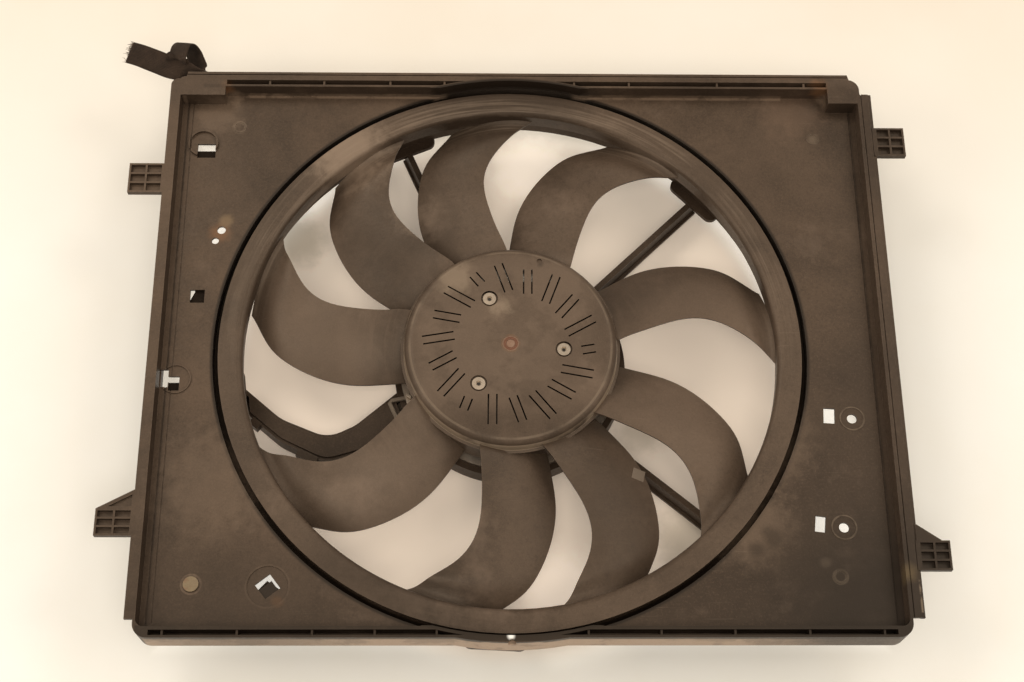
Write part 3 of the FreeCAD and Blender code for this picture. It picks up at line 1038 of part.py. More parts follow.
carrier_holes = [cylinder("carrier_thread_%d" % (i + 1), mount_r + slip / 2, flange_z - 13, flange_z + 1, *p)
                 for i, p in enumerate(mount_at)]
carrier_holes += [cylinder("foot_hole_%d" % (i + 1), foot_bolt_shank + slip, barrel_z - foot_t - 1,
                           barrel_z + 1, *p)
                  for i, p in enumerate(bolt_at)]
part(cut("carrier_part", carrier_raw, fuse("carrier_cuts", carrier_holes + [channel_cut])), "motor_carrier")

cover_in = dim("duct_cover_setback", 2.6, "step from the duct's edge to its cover")
cover_pts = inset(duct_pts, cover_in * flip)
duct_cover = slab("duct_cover_solid", cover_pts, duct_front, duct_front + 2,
                  [(1, 18), (2, 23), (3, 37), (6, 37), (7, 23), (8, 27)])
cover_limit = cut("duct_cover_limits", cylinder("duct_cover_far", 400, duct_front - 5, duct_front + 20),
                  cut("duct_cover_window", cylinder("duct_cover_outer", foot_in - 2, duct_front - 6,
                                                    duct_front + 21),
                      cylinder("duct_cover_inner", carrier_out + 3, duct_front - 7, duct_front + 22)))
part(cut("duct_cover_part", duct_cover, cover_limit), "duct_cover")

lead_w = dim("lead_width", 6, "width of the motor's lead")
lead_pts = inset(duct_pts, (q(17) - lead_w) / 2 * flip)
lead = slab("lead_solid", lead_pts, carrier_z0 + duct_floor + seal_gap,
            carrier_z0 + duct_floor + seal_gap + 4.5,
            [(1, 12), (2, 14), (3, 26), (6, 26), (7, 14), (8, 16)])
part(cut("lead_part", lead, cut("lead_limits", cylinder("lead_far", 400, 0, 40),
                                cut("lead_window", cylinder("lead_outer", barrel_r - 8, -1, 41),
                                    cylinder("lead_inner", carrier_out - 3, -2, 42)))), "motor_lead")

# screws from the feet into bosses on the outside of the barrel
boss_out = dim("foot_boss_radius", 5, "bosses on the barrel for the foot screws")
boss_h = dim("foot_boss_height", 20, "height of those bosses")
screw_set("foot_screw", "carrier_screws", bolt_at, foot_bolt_shank, barrel_z + 12, barrel_z - foot_t, 4,
          barrel_z - foot_t - 2.8)

# ---------------------------------------------------------------- shroud: the whole moulding
shell = cut("tray_hollow", fuse("tray_solid", [tray, bulge, lip] + ledges),
            fuse("tray_cuts", [pocket, pocket_back, channels, groove_lip]))
solid = fuse("shroud_solid", [shell] + blocks + [f for f, c in lugs] + gussets + [back_ribs])
cells = [c for f, cs in lugs for c in cs]
with_opening = cut("shroud_open", solid, fuse("opening_cuts", [opening_cut, gusset_pit] + cells))
arc_walls = common("arc_walls", cut("arc_wall_ring", cylinder("arc_wall_outer", opening + arc_t, panel_back,
                                                              rim_z),
                                    cylinder("arc_wall_inner", opening, panel_back - 1, rim_z + 1)),
                   fuse("arc_wall_limits", [box("arc_limit_top", -70, 70, inner_ns - 0.5, north, panel_back,
                                                rim_z),
                                            box("arc_limit_low", -70, 70, -south - 2, -inner_ns + 0.5,
                                                panel_back, rim_z)]))
foot_bosses = cut("foot_bosses", fuse("foot_boss_set", [cylinder("foot_boss_%d" % (i + 1), boss_out, barrel_z,
                                                                 barrel_z + boss_h, *p)
                                                        for i, p in enumerate(bolt_at)]),
                  cylinder("foot_boss_trim", barrel_r + 1, barrel_z - 1, barrel_z + boss_h + 1))
boss_holes = [cylinder("foot_thread_%d" % (i + 1), foot_bolt_shank + slip / 2, barrel_z - 1, barrel_z + 13,
                       *p)
              for i, p in enumerate(bolt_at)]
with_collar = fuse("shroud_collared", [with_opening, arc_walls, collar, foot_bosses] + rings)
with_holes = cut("shroud_pierced", with_collar,
                 fuse("shroud_holes", holes + marks + boss_holes + [plug_hole, drain, ledge_line]))
shroud = fuse("shroud_part", [with_holes] + catches)
part(shroud, "shroud")

# blanking plug in the panel
plug_head = dim("plug_head_radius", 6, "head of the blanking plug")
plug_head_h = dim("plug_head_height", 1.4, "height of the plug's head")
plug = fuse("plug_solid", [cylinder("plug_cap", plug_head, panel_z, panel_z + plug_head_h, -plug_x, -plug_y),
                           cylinder("plug_stem", plug_r, panel_back - 4, panel_z, -plug_x, -plug_y),
                           cone("plug_barb", plug_r - 1.2, plug_r + 0.9, panel_back - 5, panel_back - 0.3,
                                -plug_x, -plug_y)])
part(plug, "blanking_plug")


# ---------------------------------------------------------------- webbing strap at the top left corner
def band(name, points, x0, x1):
    """An outline in the YZ plane padded along X."""
    body = doc.addObject("PartDesign::Body", name)
    sk = closed_sketch(body, "YZ_Plane", points, name + "_outline")
    pad = body.newObject("PartDesign::Pad", name + "_pad")
    pad.Profile = sk
    pad.Length = (q(x1) - x0).value
    bind(pad, "Length", q(x1) - x0)
    sk.Visibility = False
    body.Tip = pad
    return place(body, x0, 0, 0)


strap_t = dim("strap_thickness", 1.6, "thickness of the webbing")
strap_w = dim("strap_width", 20, "width of the webbing")
strap_x = dim("strap_loop_middle", 280, "middle of the strap's loop, left of the axis")
strap_gap = dim("strap_clearance", 0.3, "clearance between the strap and the shroud")
tail_z = dim("strap_tail_level", 84, "level of the strap's tail")
loop_in = lip_out - 2.4
loop_outer = [(loop_in, tail_z - 13.5), (loop_in + 15, tail_z - 13.5), (loop_in + 29, tail_z - 10),
              (loop_in + 36.5, tail_z - 3), (loop_in + 37, tail_z + 1.5), (loop_in + 32, tail_z + 5.8),
              (loop_in + 23, tail_z + 6.8), (loop_in + 14, tail_z + 5), (loop_in + 8, tail_z + 0.5)]
loop_inner = [(loop_in + 9.5, tail_z - 1), (loop_in + 15, tail_z + 3.2),
              (loop_in + 23, tail_z + 6.8 - strap_t),
              (loop_in + 31.2, tail_z + 5.8 - strap_t), (loop_in + 37 - strap_t, tail_z + 1),
              (loop_in + 36.5 - strap_t, tail_z - 2.4), (loop_in + 28.4, tail_z - 10 + strap_t),
              (loop_in + 14.7, tail_z - 13.5 + strap_t), (loop_in, tail_z - 13.5 + strap_t)]
loop = band("strap_loop", loop_outer + loop_inner, -strap_x - strap_w / 2, -strap_x + strap_w / 2)
tail = slab("strap_tail", [(-331, 286.5), (-336, 267), (-294, lip_out + 1.5), (-268, lip_out + strap_gap),
                           (-266, 258), (-299, 273.5)], tail_z - 0.8, tail_z - 0.8 + strap_t)
part(fuse("strap_solid", [loop, tail]), "strap")

# ---------------------------------------------------------------- build, check and export
doc.recompute()
problems = []
for o in doc.Objects:
    if "Invalid" in o.State or "Error" in o.State:
        problems.append("%s: %s" % (o.Name, o.State))
for o in PARTS:
    s = o.Shape
    if s.isNull() or not s.isValid() or not s.Solids:
        problems.append("%s has no sound shape" % o.Label)
if problems:
    raise RuntimeError("; ".join(problems))

os.makedirs("parts", exist_ok=True)
for o in PARTS:
    o.Shape.exportStep("parts/%s.step" % o.Label)
    print("%-16s solids %2d  volume %8.2f cm3" % (o.Label, len(o.Shape.Solids), o.Shape.Volume / 1000))
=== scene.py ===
"""Finishes and soft parts of a used radiator fan shroud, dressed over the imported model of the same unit.

Lengths are metres unless a name ends in _MM. The fan's axis is Z, the radiator side faces up and the strap
is on the far side."""

import bpy
import bmesh
import math
import random
from mathutils import Vector, Matrix


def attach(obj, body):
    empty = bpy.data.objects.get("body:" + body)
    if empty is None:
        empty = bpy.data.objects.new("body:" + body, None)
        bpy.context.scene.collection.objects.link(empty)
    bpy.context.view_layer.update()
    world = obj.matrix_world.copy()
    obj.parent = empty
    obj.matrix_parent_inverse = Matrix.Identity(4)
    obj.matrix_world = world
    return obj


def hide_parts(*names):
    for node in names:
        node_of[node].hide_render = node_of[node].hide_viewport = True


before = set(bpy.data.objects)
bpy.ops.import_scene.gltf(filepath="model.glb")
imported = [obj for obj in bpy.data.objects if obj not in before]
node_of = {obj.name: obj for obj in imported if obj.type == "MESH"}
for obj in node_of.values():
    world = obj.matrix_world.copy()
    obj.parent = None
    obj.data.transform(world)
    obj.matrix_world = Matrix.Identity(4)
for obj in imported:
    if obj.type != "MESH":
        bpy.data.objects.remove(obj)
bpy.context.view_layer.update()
MM = 0.001


# ---------------------------------------------------------------- camera, light and floor

LENS_MM, SENSOR_MM = 57.29, 36
CAMERA_PLACE = (-0.02366, -0.51804, 1.29835)
CAMERA_ACROSS = (0.99982237, -0.00484587, 0.01821399)
CAMERA_UP = (-0.00269218, 0.91975456, 0.39248478)
CAMERA_BACK = (-0.01865433, -0.3924641, 0.91957814)


def set_camera():
    """A camera over the bottom edge, looking down at the fan from two thirds of a right angle."""
    data = bpy.data.cameras.new("camera")
    data.lens, data.sensor_width = LENS_MM, SENSOR_MM
    camera = bpy.data.objects.new("camera", data)
    turn = Matrix((CAMERA_ACROSS, CAMERA_UP, CAMERA_BACK)).transposed().to_4x4()
    camera.matrix_world = Matrix.Translation(CAMERA_PLACE) @ turn
    bpy.context.scene.collection.objects.link(camera)
    bpy.context.scene.camera = camera


def softbox(name, place, aim, size, power, colour):
    """One soft rectangular lamp turned towards a point."""
    data = bpy.data.lights.new(name, "AREA")
    data.shape, data.size, data.size_y = "RECTANGLE", size, size * 0.8
    data.energy, data.color = power, colour
    lamp = bpy.data.objects.new(name, data)
    lamp.location = place
    lamp.rotation_euler = (Vector(aim) - Vector(place)).to_track_quat("-Z", "Y").to_euler()
    bpy.context.scene.collection.objects.link(lamp)


def set_studio():
    """Warm air light and five softboxes round the table."""
    scene = bpy.context.scene
    scene.view_settings.view_transform = "Standard"
    world = bpy.data.worlds.new("studio_air")
    world.use_nodes = True
    air = world.node_tree.nodes["Background"]
    air.inputs["Color"].default_value = (1.0, 0.945, 0.865, 1)
    air.inputs["Strength"].default_value = 0.55
    scene.world = world
    warm = (1.0, 0.94, 0.855)
    for name, place, size, power in (("softbox_back_left", (-0.95, 0.95, 1.8), 0.9, 11),
                                     ("softbox_back_right", (1.15, 0.75, 1.8), 0.8, 8),
                                     ("softbox_left", (-1.5, -0.35, 1.3), 0.9, 9),
                                     ("softbox_right", (1.5, -0.35, 1.3), 0.9, 7),
                                     ("softbox_camera", (0.05, -0.8, 1.75), 0.8, 10)):
        softbox(name, place, (0, 0, 0), size, power, warm)


# ---------------------------------------------------------------- wiring of shader nodes

class Wiring:
    """Adds nodes to one tree; an input given as a socket is linked, and anything else is set on it."""

    def __init__(self, tree):
        self.tree = tree

    def add(self, kind, inputs=None, **settings):
        node = self.tree.nodes.new(kind)
        for key, value in settings.items():
            setattr(node, key, value)
        for key, value in (inputs or {}).items():
            self.feed(node.inputs[key], value)
        return node

    def feed(self, socket, value):
        if isinstance(value, bpy.types.NodeSocket):
            self.tree.links.new(value, socket)
        else:
            socket.default_value = value

    def math(self, operation, *values, clamp=False):
        node = self.add("ShaderNodeMath", operation=operation, use_clamp=clamp)
        for socket, value in zip(node.inputs, values):
            self.feed(socket, value)
        return node.outputs[0]

    def vector(self, operation, *values):
        node = self.add("ShaderNodeVectorMath", operation=operation)
        for socket, value in zip(node.inputs, values):
            self.feed(socket, value)
        single = operation in ("LENGTH", "DISTANCE", "DOT_PRODUCT")
        return node.outputs["Value" if single else "Vector"]

    def parts(self, vector):
        """The X, Y and Z of a vector."""
        return self.add("ShaderNodeSeparateXYZ", {"Vector": vector}).outputs

    def normal(self):
        return self.add("ShaderNodeNewGeometry").outputs["Normal"]

    def less(self, value):
        """What the value leaves of 1."""
        return self.math("SUBTRACT", 1.0, value)

    def fade(self, value, low, high, clamp_to=(0.0, 1.0)):
        """0 below low and 1 above high, with a smooth step between them."""
        node = self.add("ShaderNodeMapRange", {"Value": value, "From Min": low, "From Max": high,
                                               "To Min": clamp_to[0], "To Max": clamp_to[1]},
                        interpolation_type="SMOOTHSTEP")
        return node.outputs["Result"]

    def blend(self, share, first, second, mode="MIX"):
        node = self.add("ShaderNodeMix", data_type="RGBA", blend_type=mode, clamp_factor=True)
        self.feed(node.inputs[0], share)
        self.feed(node.inputs[6], first)
        self.feed(node.inputs[7], second)
        return node.outputs[2]

    def noise(self, where, scale, detail=4.0, rough=0.55, warp=0.0):
        node = self.add("ShaderNodeTexNoise", {"Vector": where, "Scale": scale, "Detail": detail,
                                               "Roughness": rough, "Distortion": warp})
        return node.outputs["Fac"]

    def place(self):
        return self.add("ShaderNodeTexCoord").outputs["Object"]


def effect(name, inputs, outputs, build):
    """A shader node group: inputs are (name, type, value) and outputs (name, type)."""
    tree = bpy.data.node_groups.new(name, "ShaderNodeTree")
    for label, kind, value in inputs:
        socket = tree.interface.new_socket(name=label, in_out="INPUT", socket_type=kind)
        socket.default_value = value
    for label, kind in outputs:
        tree.interface.new_socket(name=label, in_out="OUTPUT", socket_type=kind)
    w = Wiring(tree)
    source = w.add("NodeGroupInput")
    results = build(w, source.outputs)
    sink = w.add("NodeGroupOutput")
    for label, _ in outputs:
        w.feed(sink.inputs[label], results[label])
    return tree


NUMBER, SPOT = "NodeSocketFloat", "NodeSocketVector"


def patches(w, given):
    """Cloudy patches, fine at their edges, as grime leaves when it has been wiped."""
    broad = w.noise(w.vector("ADD", w.place(), given["Shift"]), given["Scale"], 5, 0.6, 0.4)
    fine = w.noise(w.place(), w.math("MULTIPLY", given["Scale"], 9), 3, 0.6)
    return {"Mask": w.fade(w.math("ADD", w.math("MULTIPLY", broad, 0.8), w.math("MULTIPLY", fine, 0.2)),
                           given["Low"], given["High"])}


def settled_dust(w, given):
    """Dust that lies on what faces up, thinner on slopes and broken by fine noise."""
    lie = w.fade(w.parts(w.normal())["Z"], -0.2, 0.95)
    cloud = w.noise(w.place(), given["Scale"], 6, 0.62, 0.6)
    speck = w.noise(w.place(), 900, 2, 0.5)
    film = w.fade(w.math("ADD", w.math("MULTIPLY", cloud, 0.75), w.math("MULTIPLY", speck, 0.25)), 0.3, 0.72)
    return {"Mask": w.math("MULTIPLY", w.math("MULTIPLY", lie, film), given["Amount"], clamp=True)}


def specks(w, given):
    """Small grains, strewn thicker in some places than in others."""
    fine = w.noise(w.place(), given["Scale"], 3, 0.65)
    thick = w.fade(w.noise(w.place(), 7, 4, 0.6), 0.3, 0.7, (0.35, 1.0))
    return {"Mask": w.math("MULTIPLY", w.math("MULTIPLY", w.fade(fine, 0.5, 0.68), thick), given["Amount"])}


def moulded_grain(w, given):
    """The fine pebble of a spark-eroded mould."""
    pebble = w.add("ShaderNodeTexVoronoi", {"Vector": w.place(), "Scale": given["Grain"]},
                   feature="SMOOTH_F1")
    cloud = w.noise(w.place(), w.math("MULTIPLY", given["Grain"], 0.35), 3, 0.5)
    height = w.math("ADD", w.math("MULTIPLY", pebble.outputs["Distance"], 0.6),
                    w.math("MULTIPLY", cloud, 0.4))
    return {"Height": height, "Gloss": w.fade(cloud, 0.35, 0.65)}


def scratches(w, given):
    """Thin straight scratches in one direction, each broken along its length."""
    turned = w.add("ShaderNodeMapping", {"Vector": w.place(), "Rotation": given["Turn"],
                                         "Scale": (14, 900, 60)})
    line = w.noise(turned.outputs["Vector"], 1.0, 2, 0.5, 0.15)
    where = w.noise(w.place(), 9, 3, 0.6)
    return {"Mask": w.math("MULTIPLY", w.fade(line, given["Rarity"], 0.86), w.fade(where, 0.46, 0.62))}


def worn_edges(w, given):
    """The lighter rub along corners, found by comparing a rounded normal with the true one."""
    soft = w.add("ShaderNodeBevel", {"Radius": given["Reach"]}, samples=4).outputs["Normal"]
    turn = w.less(w.vector("DOT_PRODUCT", soft, w.normal()))
    broken = w.noise(w.place(), 160, 4, 0.65)
    return {"Mask": w.math("MULTIPLY", w.fade(turn, 0.02, 0.25), w.fade(broken, 0.38, 0.6), clamp=True)}


def stain(w, given):
    """A ragged round stain about one point."""
    wave = w.math("MULTIPLY", w.math("SUBTRACT", w.noise(w.place(), 90, 5, 0.65), 0.5), given["Ragged"])
    away = w.math("ADD", w.vector("DISTANCE", w.place(), given["Centre"]), wave)
    return {"Mask": w.less(w.fade(w.math("DIVIDE", away, given["Reach"]), 0.25, 1.0))}


def turning_streaks(w, given):
    """Marks that run round the axis, as on a part that has turned in dusty air."""
    at = w.parts(w.place())
    radius = w.vector("LENGTH", w.vector("MULTIPLY", w.place(), (1, 1, 0)))
    round_x = w.math("DIVIDE", at["X"], radius)
    round_y = w.math("DIVIDE", at["Y"], radius)
    where = w.add("ShaderNodeCombineXYZ", {"X": w.math("MULTIPLY", radius, given["Fineness"]),
                                           "Y": w.math("MULTIPLY", round_x, 2.2),
                                           "Z": w.math("MULTIPLY", round_y, 2.2)}).outputs["Vector"]
    return {"Mask": w.fade(w.noise(where, 1.0, 5, 0.6), 0.42, 0.66)}


def broken_up(w, inside, given, high):
    """Lets noise eat holes in a mask, as far as Broken says."""
    holes = w.fade(w.noise(w.place(), given["Grain"], 4, 0.6), 0.34, high)
    return w.math("MULTIPLY", inside, w.math("MAXIMUM", holes, w.less(given["Broken"])))


def block(w, given):
    """A soft-edged box about one point, broken up by noise."""
    away = w.vector("ABSOLUTE", w.vector("SUBTRACT", w.place(), given["Centre"]))
    at = w.parts(w.vector("SUBTRACT", away, given["Half"]))
    out = w.math("MAXIMUM", w.math("MAXIMUM", at["X"], at["Y"]), at["Z"])
    inside = w.less(w.fade(w.math("DIVIDE", out, given["Soft"]), 0.0, 1.0))
    return {"Mask": broken_up(w, inside, given, 0.52)}


def halo(w, given):
    """A ring about a point of the panel, broken up by noise."""
    flat = w.vector("MULTIPLY", w.vector("SUBTRACT", w.place(), given["Centre"]), (1, 1, 0))
    off = w.math("ABSOLUTE", w.math("SUBTRACT", w.vector("LENGTH", flat), given["Radius"]))
    inside = w.less(w.fade(w.math("DIVIDE", off, given["Width"]), 0.5, 1.0))
    return {"Mask": broken_up(w, inside, given, 0.56)}


def slope(w, given):
    """Rises along one direction, from 0 at Low to 1 at High."""
    return {"Mask": w.fade(w.vector("DOT_PRODUCT", w.place(), given["Along"]), given["Low"], given["High"])}


def slot_walls(w, given):
    """What stands upright within a band of radii of the hub."""
    flat = w.vector("LENGTH", w.vector("MULTIPLY", w.place(), (1, 1, 0)))
    off = w.math("DIVIDE", w.math("ABSOLUTE", w.math("SUBTRACT", flat, given["Radius"])), given["Width"])
    upright = w.less(w.fade(w.math("ABSOLUTE", w.parts(w.normal())["Z"]), 0.3, 0.6))
    height = w.fade(w.parts(w.place())["Z"], 0.072, 0.0735)
    return {"Mask": w.math("MULTIPLY", w.math("MULTIPLY", upright, height), w.less(w.fade(off, 0.5, 0.56)))}


def facing(w, given):
    """What faces one way."""
    return {"Mask": w.fade(w.vector("DOT_PRODUCT", w.normal(), given["Way"]), 0.45, 0.9)}


MASK = [("Mask", NUMBER)]
CENTRE = ("Centre", SPOT, (0, 0, 0))
# how fine and how far noise eats into a mark that doesn't say otherwise
GRAIN, BROKEN = 120, 0.5
BREAKS = [("Grain", NUMBER, GRAIN), ("Broken", NUMBER, BROKEN)]

effects = {
    "block": effect("soft_block", [CENTRE, ("Half", SPOT, (0.01, 0.01, 0.01)),
                                   ("Soft", NUMBER, 0.002)] + BREAKS,
                    MASK, block),
    "halo": effect("soft_ring", [CENTRE, ("Radius", NUMBER, 0.01), ("Width", NUMBER, 0.001)] + BREAKS, MASK,
                   halo),
    "slope": effect("even_slope", [("Along", SPOT, (0, 1, 0)), ("Low", NUMBER, -0.2), ("High", NUMBER, 0.2)],
                    MASK, slope),
    "slot_walls": effect("slot_walls", [("Radius", NUMBER, 0.059), ("Width", NUMBER, 0.03)], MASK,
                         slot_walls),
    "facing": effect("what_faces", [("Way", SPOT, (0, -1, 0))], MASK, facing),
    "patches": effect("wiped_grime_patches", [("Scale", NUMBER, 8), ("Low", NUMBER, 0.4),
                                              ("High", NUMBER, 0.6),
                                              ("Shift", SPOT, (0, 0, 0))], MASK, patches),
    "dust": effect("settled_dust", [("Scale", NUMBER, 14), ("Amount", NUMBER, 0.6)], MASK, settled_dust),
    "specks": effect("strewn_specks", [("Scale", NUMBER, 500), ("Amount", NUMBER, 0.4)], MASK, specks),
    "grain": effect("moulded_grain", [("Grain", NUMBER, 1400)], [("Height", NUMBER), ("Gloss", NUMBER)],
                    moulded_grain),
    "scratches": effect("fine_scratches", [("Turn", SPOT, (0, 0, 0.6)), ("Rarity", NUMBER, 0.7)], MASK,
                        scratches),
    "edges": effect("worn_edges", [("Reach", NUMBER, 0.0012)], MASK, worn_edges),
    "stain": effect("ragged_stain", [CENTRE, ("Reach", NUMBER, 0.03), ("Ragged", NUMBER, 0.02)], MASK, stain),
    "streaks": effect("turning_streaks", [("Fineness", NUMBER, 160)], MASK, turning_streaks),
}


class Finish(Wiring):
    """One material: a Principled shader, the effects laid on its colour, and a bump."""

    def __init__(self, name, **constants):
        self.material = bpy.data.materials.new(name)
        self.material.use_nodes = True
        super().__init__(self.material.node_tree)
        self.shader = self.tree.nodes["Principled BSDF"]
        for key, value in constants.items():
            self.shader.inputs[key.replace("_", " ")].default_value = value

    def use(self, name, output="Mask", **inputs):
        node = self.tree.nodes.new("ShaderNodeGroup")
        node.node_tree = effects[name]
        for key, value in inputs.items():
            self.feed(node.inputs[key], value)
        return node.outputs[output]

    def lay(self, tone, mask, share, colour):
        """A colour laid over a tone where a mask says, at a share of its full strength."""
        return self.blend(self.math("MULTIPLY", mask, share), tone, colour)

    def finish(self, colour, roughness, height=None, depth=0.0002, strength=0.5, metallic=None):
        self.feed(self.shader.inputs["Base Color"], colour)
        self.feed(self.shader.inputs["Roughness"], roughness)
        if metallic is not None:
            self.feed(self.shader.inputs["Metallic"], metallic)
        if height is not None:
            bump = self.add("ShaderNodeBump", {"Height": height, "Distance": depth, "Strength": strength})
            self.feed(self.shader.inputs["Normal"], bump.outputs["Normal"])
        return self.material


def rgb(r, g, b):
    return (r, g, b, 1.0)


# a dark brown for grime patches, and for painted shade in creases and on the panel's darker side
GRIME_AND_SHADE = rgb(0.012, 0.0075, 0.005)


def spot(centre, reach, ragged, strength, colour):
    """A mark: a ragged stain about one point."""
    return "stain", {"Centre": centre, "Reach": reach, "Ragged": ragged}, strength, colour


def ring(centre, radius, width, strength, colour, grain=GRAIN, broken=BROKEN):
    """A mark: a thin ring about one point."""
    place = {"Centre": centre, "Radius": radius, "Width": width}
    return "halo", {**place, "Grain": grain, "Broken": broken}, strength, colour


def bar(centre, half, soft, strength, colour, grain=GRAIN, broken=BROKEN):
    """A mark: a straight soft-edged bar about one point."""
    place = {"Centre": centre, "Half": half, "Soft": soft}
    return "block", {**place, "Grain": grain, "Broken": broken}, strength, colour


def stained(f, tone, marks):
    """Lays local marks on a tone: each is (effect, its inputs, strength, colour)."""
    for kind, inputs, strength, colour in marks:
        tone = f.lay(tone, f.use(kind, **inputs), strength, colour)
    return tone


def dusty_plastic(name, deep, faded, dust, marks=(), dust_amount=0.6, rough=(0.42, 0.66), streaked=False,
                  shade_and_dust_drift=None, level=0.38):
    """Black polypropylene that has faded and gathered dust.

    A streaked part has turned in dusty air. Drift is (direction, low, high): the dust thickens that way,
    and painted shade darkens the tone on the other side."""
    f = Finish(name, **{"Specular_IOR_Level": level, "Specular_Tint": rgb(1.0, 0.84, 0.68)})
    tone = f.blend(f.use("patches", Scale=5.0, Low=0.38, High=0.62), deep, faded)
    tone = f.lay(tone, f.use("patches", Scale=26.0, Low=0.44, High=0.64, Shift=(3.1, 0.2, 1.4)), 0.5, faded)
    tone = f.lay(tone, f.use("patches", Scale=17.0, Low=0.5, High=0.68, Shift=(0.4, 5.2, 2.0)), 0.45, GRIME_AND_SHADE)
    film = f.use("dust", Scale=9.0, Amount=dust_amount)
    if streaked:
        film = f.math("MAXIMUM", film, f.math("MULTIPLY", f.use("streaks", Fineness=170.0), 0.25))
    if shade_and_dust_drift:
        along, low, high = shade_and_dust_drift
        side = f.use("slope", Along=along, Low=low, High=high)
        # painted shade laid over the side away from the drift
        tone = f.lay(tone, f.less(side), 0.6, GRIME_AND_SHADE)
        film = f.math("MULTIPLY", film, f.math("ADD", f.math("MULTIPLY", side, 0.85), 0.15))
    tone = f.blend(film, tone, dust)
    tone = f.blend(f.use("specks", Scale=520.0, Amount=0.2), tone, dust)
    tone = f.blend(f.use("specks", Scale=330.0, Amount=0.3), tone, deep)
    wiped = f.use("patches", Scale=11.0, Low=0.54, High=0.7, Shift=(7.0, 1.0, 0.5))
    tone = f.lay(tone, wiped, 0.3 if streaked else 0.22, rgb(0.2, 0.138, 0.098))
    scuff = f.math("MAXIMUM", f.use("scratches", Turn=(0.1, 0.2, 0.55), Rarity=0.66),
                   f.use("scratches", Turn=(0.3, 0.1, 2.2), Rarity=0.7))
    tone = f.lay(tone, scuff, 0.35, rgb(0.24, 0.175, 0.125))
    tone = f.lay(tone, f.use("edges", Reach=0.0009), 0.35, rgb(0.2, 0.145, 0.105))
    tone = stained(f, tone, marks)
    if streaked:
        tip = f.use("halo", Centre=(0, 0, 0), Radius=0.2215, Width=0.0165, Grain=9.0, Broken=1.0)
        tip = f.math("MULTIPLY", tip, f.use("slope", Along=(0.0, 1.0, 0.0), Low=-0.08, High=0.2))
        rubbed = f.math("MULTIPLY", f.use("streaks", Fineness=420.0), tip)
        tone = f.lay(tone, rubbed, 0.34, rgb(0.26, 0.19, 0.135))
    roughness = f.math("ADD", f.fade(film, 0.0, 1.0, rough),
                       f.math("MULTIPLY", f.use("grain", "Gloss", Grain=1500.0), 0.08))
    height = f.math("SUBTRACT", f.math("MULTIPLY", f.use("grain", "Height", Grain=1500.0), 0.6),
                    f.math("MULTIPLY", scuff, 0.5))
    height = f.math("ADD", height, f.math("MULTIPLY", f.noise(f.place(), 60, 4, 0.6), 1.2))
    return f.finish(tone, roughness, height, 0.00025, 0.5)


def worn_metal(name, clean, tarnish, rust_share, rough=(0.3, 0.6), cast=False, marks=(), dusty=0.55):
    """Bare or plated metal with tarnish, rust spots and a film of dust."""
    f = Finish(name)
    spots = f.use("patches", Scale=70.0, Low=0.62 - rust_share * 0.35, High=0.74)
    tone = f.blend(f.use("patches", Scale=30.0, Low=0.35, High=0.65, Shift=(1, 2, 3)), clean, tarnish)
    tone = f.blend(spots, tone, rgb(0.16, 0.06, 0.022))
    film = f.use("dust", Scale=25.0, Amount=dusty)
    tone = stained(f, f.blend(film, tone, rgb(0.30, 0.21, 0.14)), marks)
    cover = f.math("MAXIMUM", spots, film)
    grit = f.noise(f.place(), 500 if cast else 1800, 3, 0.6)
    return f.finish(tone, f.fade(cover, 0, 1, rough), f.math("ADD", grit, f.math("MULTIPLY", spots, 0.7)),
                    0.0002 if cast else 0.00008, 0.6, metallic=f.math("SUBTRACT", 1.0, cover, clamp=True))


# ---------------------------------------------------------------- the webbing strap

WEB_WIDTH, WEB_THICK = 0.020, 0.0015
# centre of the band, then the direction across it, from the frayed end to the end behind the lip
STRAP_ROUTE_MM = [((-331.5, 274.2, 82), (-2.2, -9.5, -2.0)), ((-322, 270.5, 83), (-1.2, -9.4, -2.3)),
                  ((-313.8, 266.8, 83.4), (-0.2, -9.1, -3.0)), ((-304.5, 262.2, 84.4), (0.8, -9.0, -3.6)),
                  ((-295.8, 257.9, 85.2), (1.6, -8.8, -4.2)), ((-287.5, 255.2, 86), (0.8, -8.0, -5.8)),
                  ((-280.2, 253.6, 85.6), (-0.7, -4.4, -8.9)), ((-272.5, 251.6, 82.5), (-1.5, -1.0, -9.8)),
                  ((-264.5, 251.6, 76), (-6.0, 0, -8.0)), ((-262.5, 252.6, 70), (-10, 0, -1.5)),
                  ((-264.5, 254.0, 70.0), (-10, 0.8, -1.5)),
                  ((-270.8, 256.9, 76.4), (-8.1, 3.6, -4.6)), ((-272.1, 262.9, 77.4), (-8.1, 3.6, -4.6)),
                  ((-274.0, 268.5, 78.9), (-8.1, 3.6, -4.6)), ((-276.3, 274.3, 81.9), (-8.1, 3.6, -4.6)),
                  ((-278.9, 277.6, 86.4), (-8.1, 3.6, -4.6)), ((-282.0, 277.6, 90.9), (-8.1, 3.6, -4.6)),
                  ((-284.9, 273.5, 93.7), (-8.1, 3.6, -4.6)), ((-286.2, 266.7, 95.0), (-8.1, 3.6, -4.6)),
                  ((-286.9, 260.5, 94.4), (-8.1, 3.6, -4.6)), ((-289.0, 264.0, 86.0), (-8.0, 2.6, -5.5)),
                  ((-287.5, 262.5, 77.0), (-8.6, 2.6, -4.5))]


def smooth_through(points, steps):
    """Catmull-Rom points through the given ones."""
    ends = [points[0] * 2 - points[1]] + points + [points[-1] * 2 - points[-2]]
    out = []
    for i in range(1, len(ends) - 2):
        a, b, c, d = ends[i - 1:i + 3]
        for k in range(steps):
            t = k / steps
            out.append(0.5 * (2 * b + (c - a) * t + (2 * a - 5 * b + 4 * c - d) * t * t
                              + (3 * b - a - 3 * c + d) * t ** 3))
    out.append(points[-1])
    return out


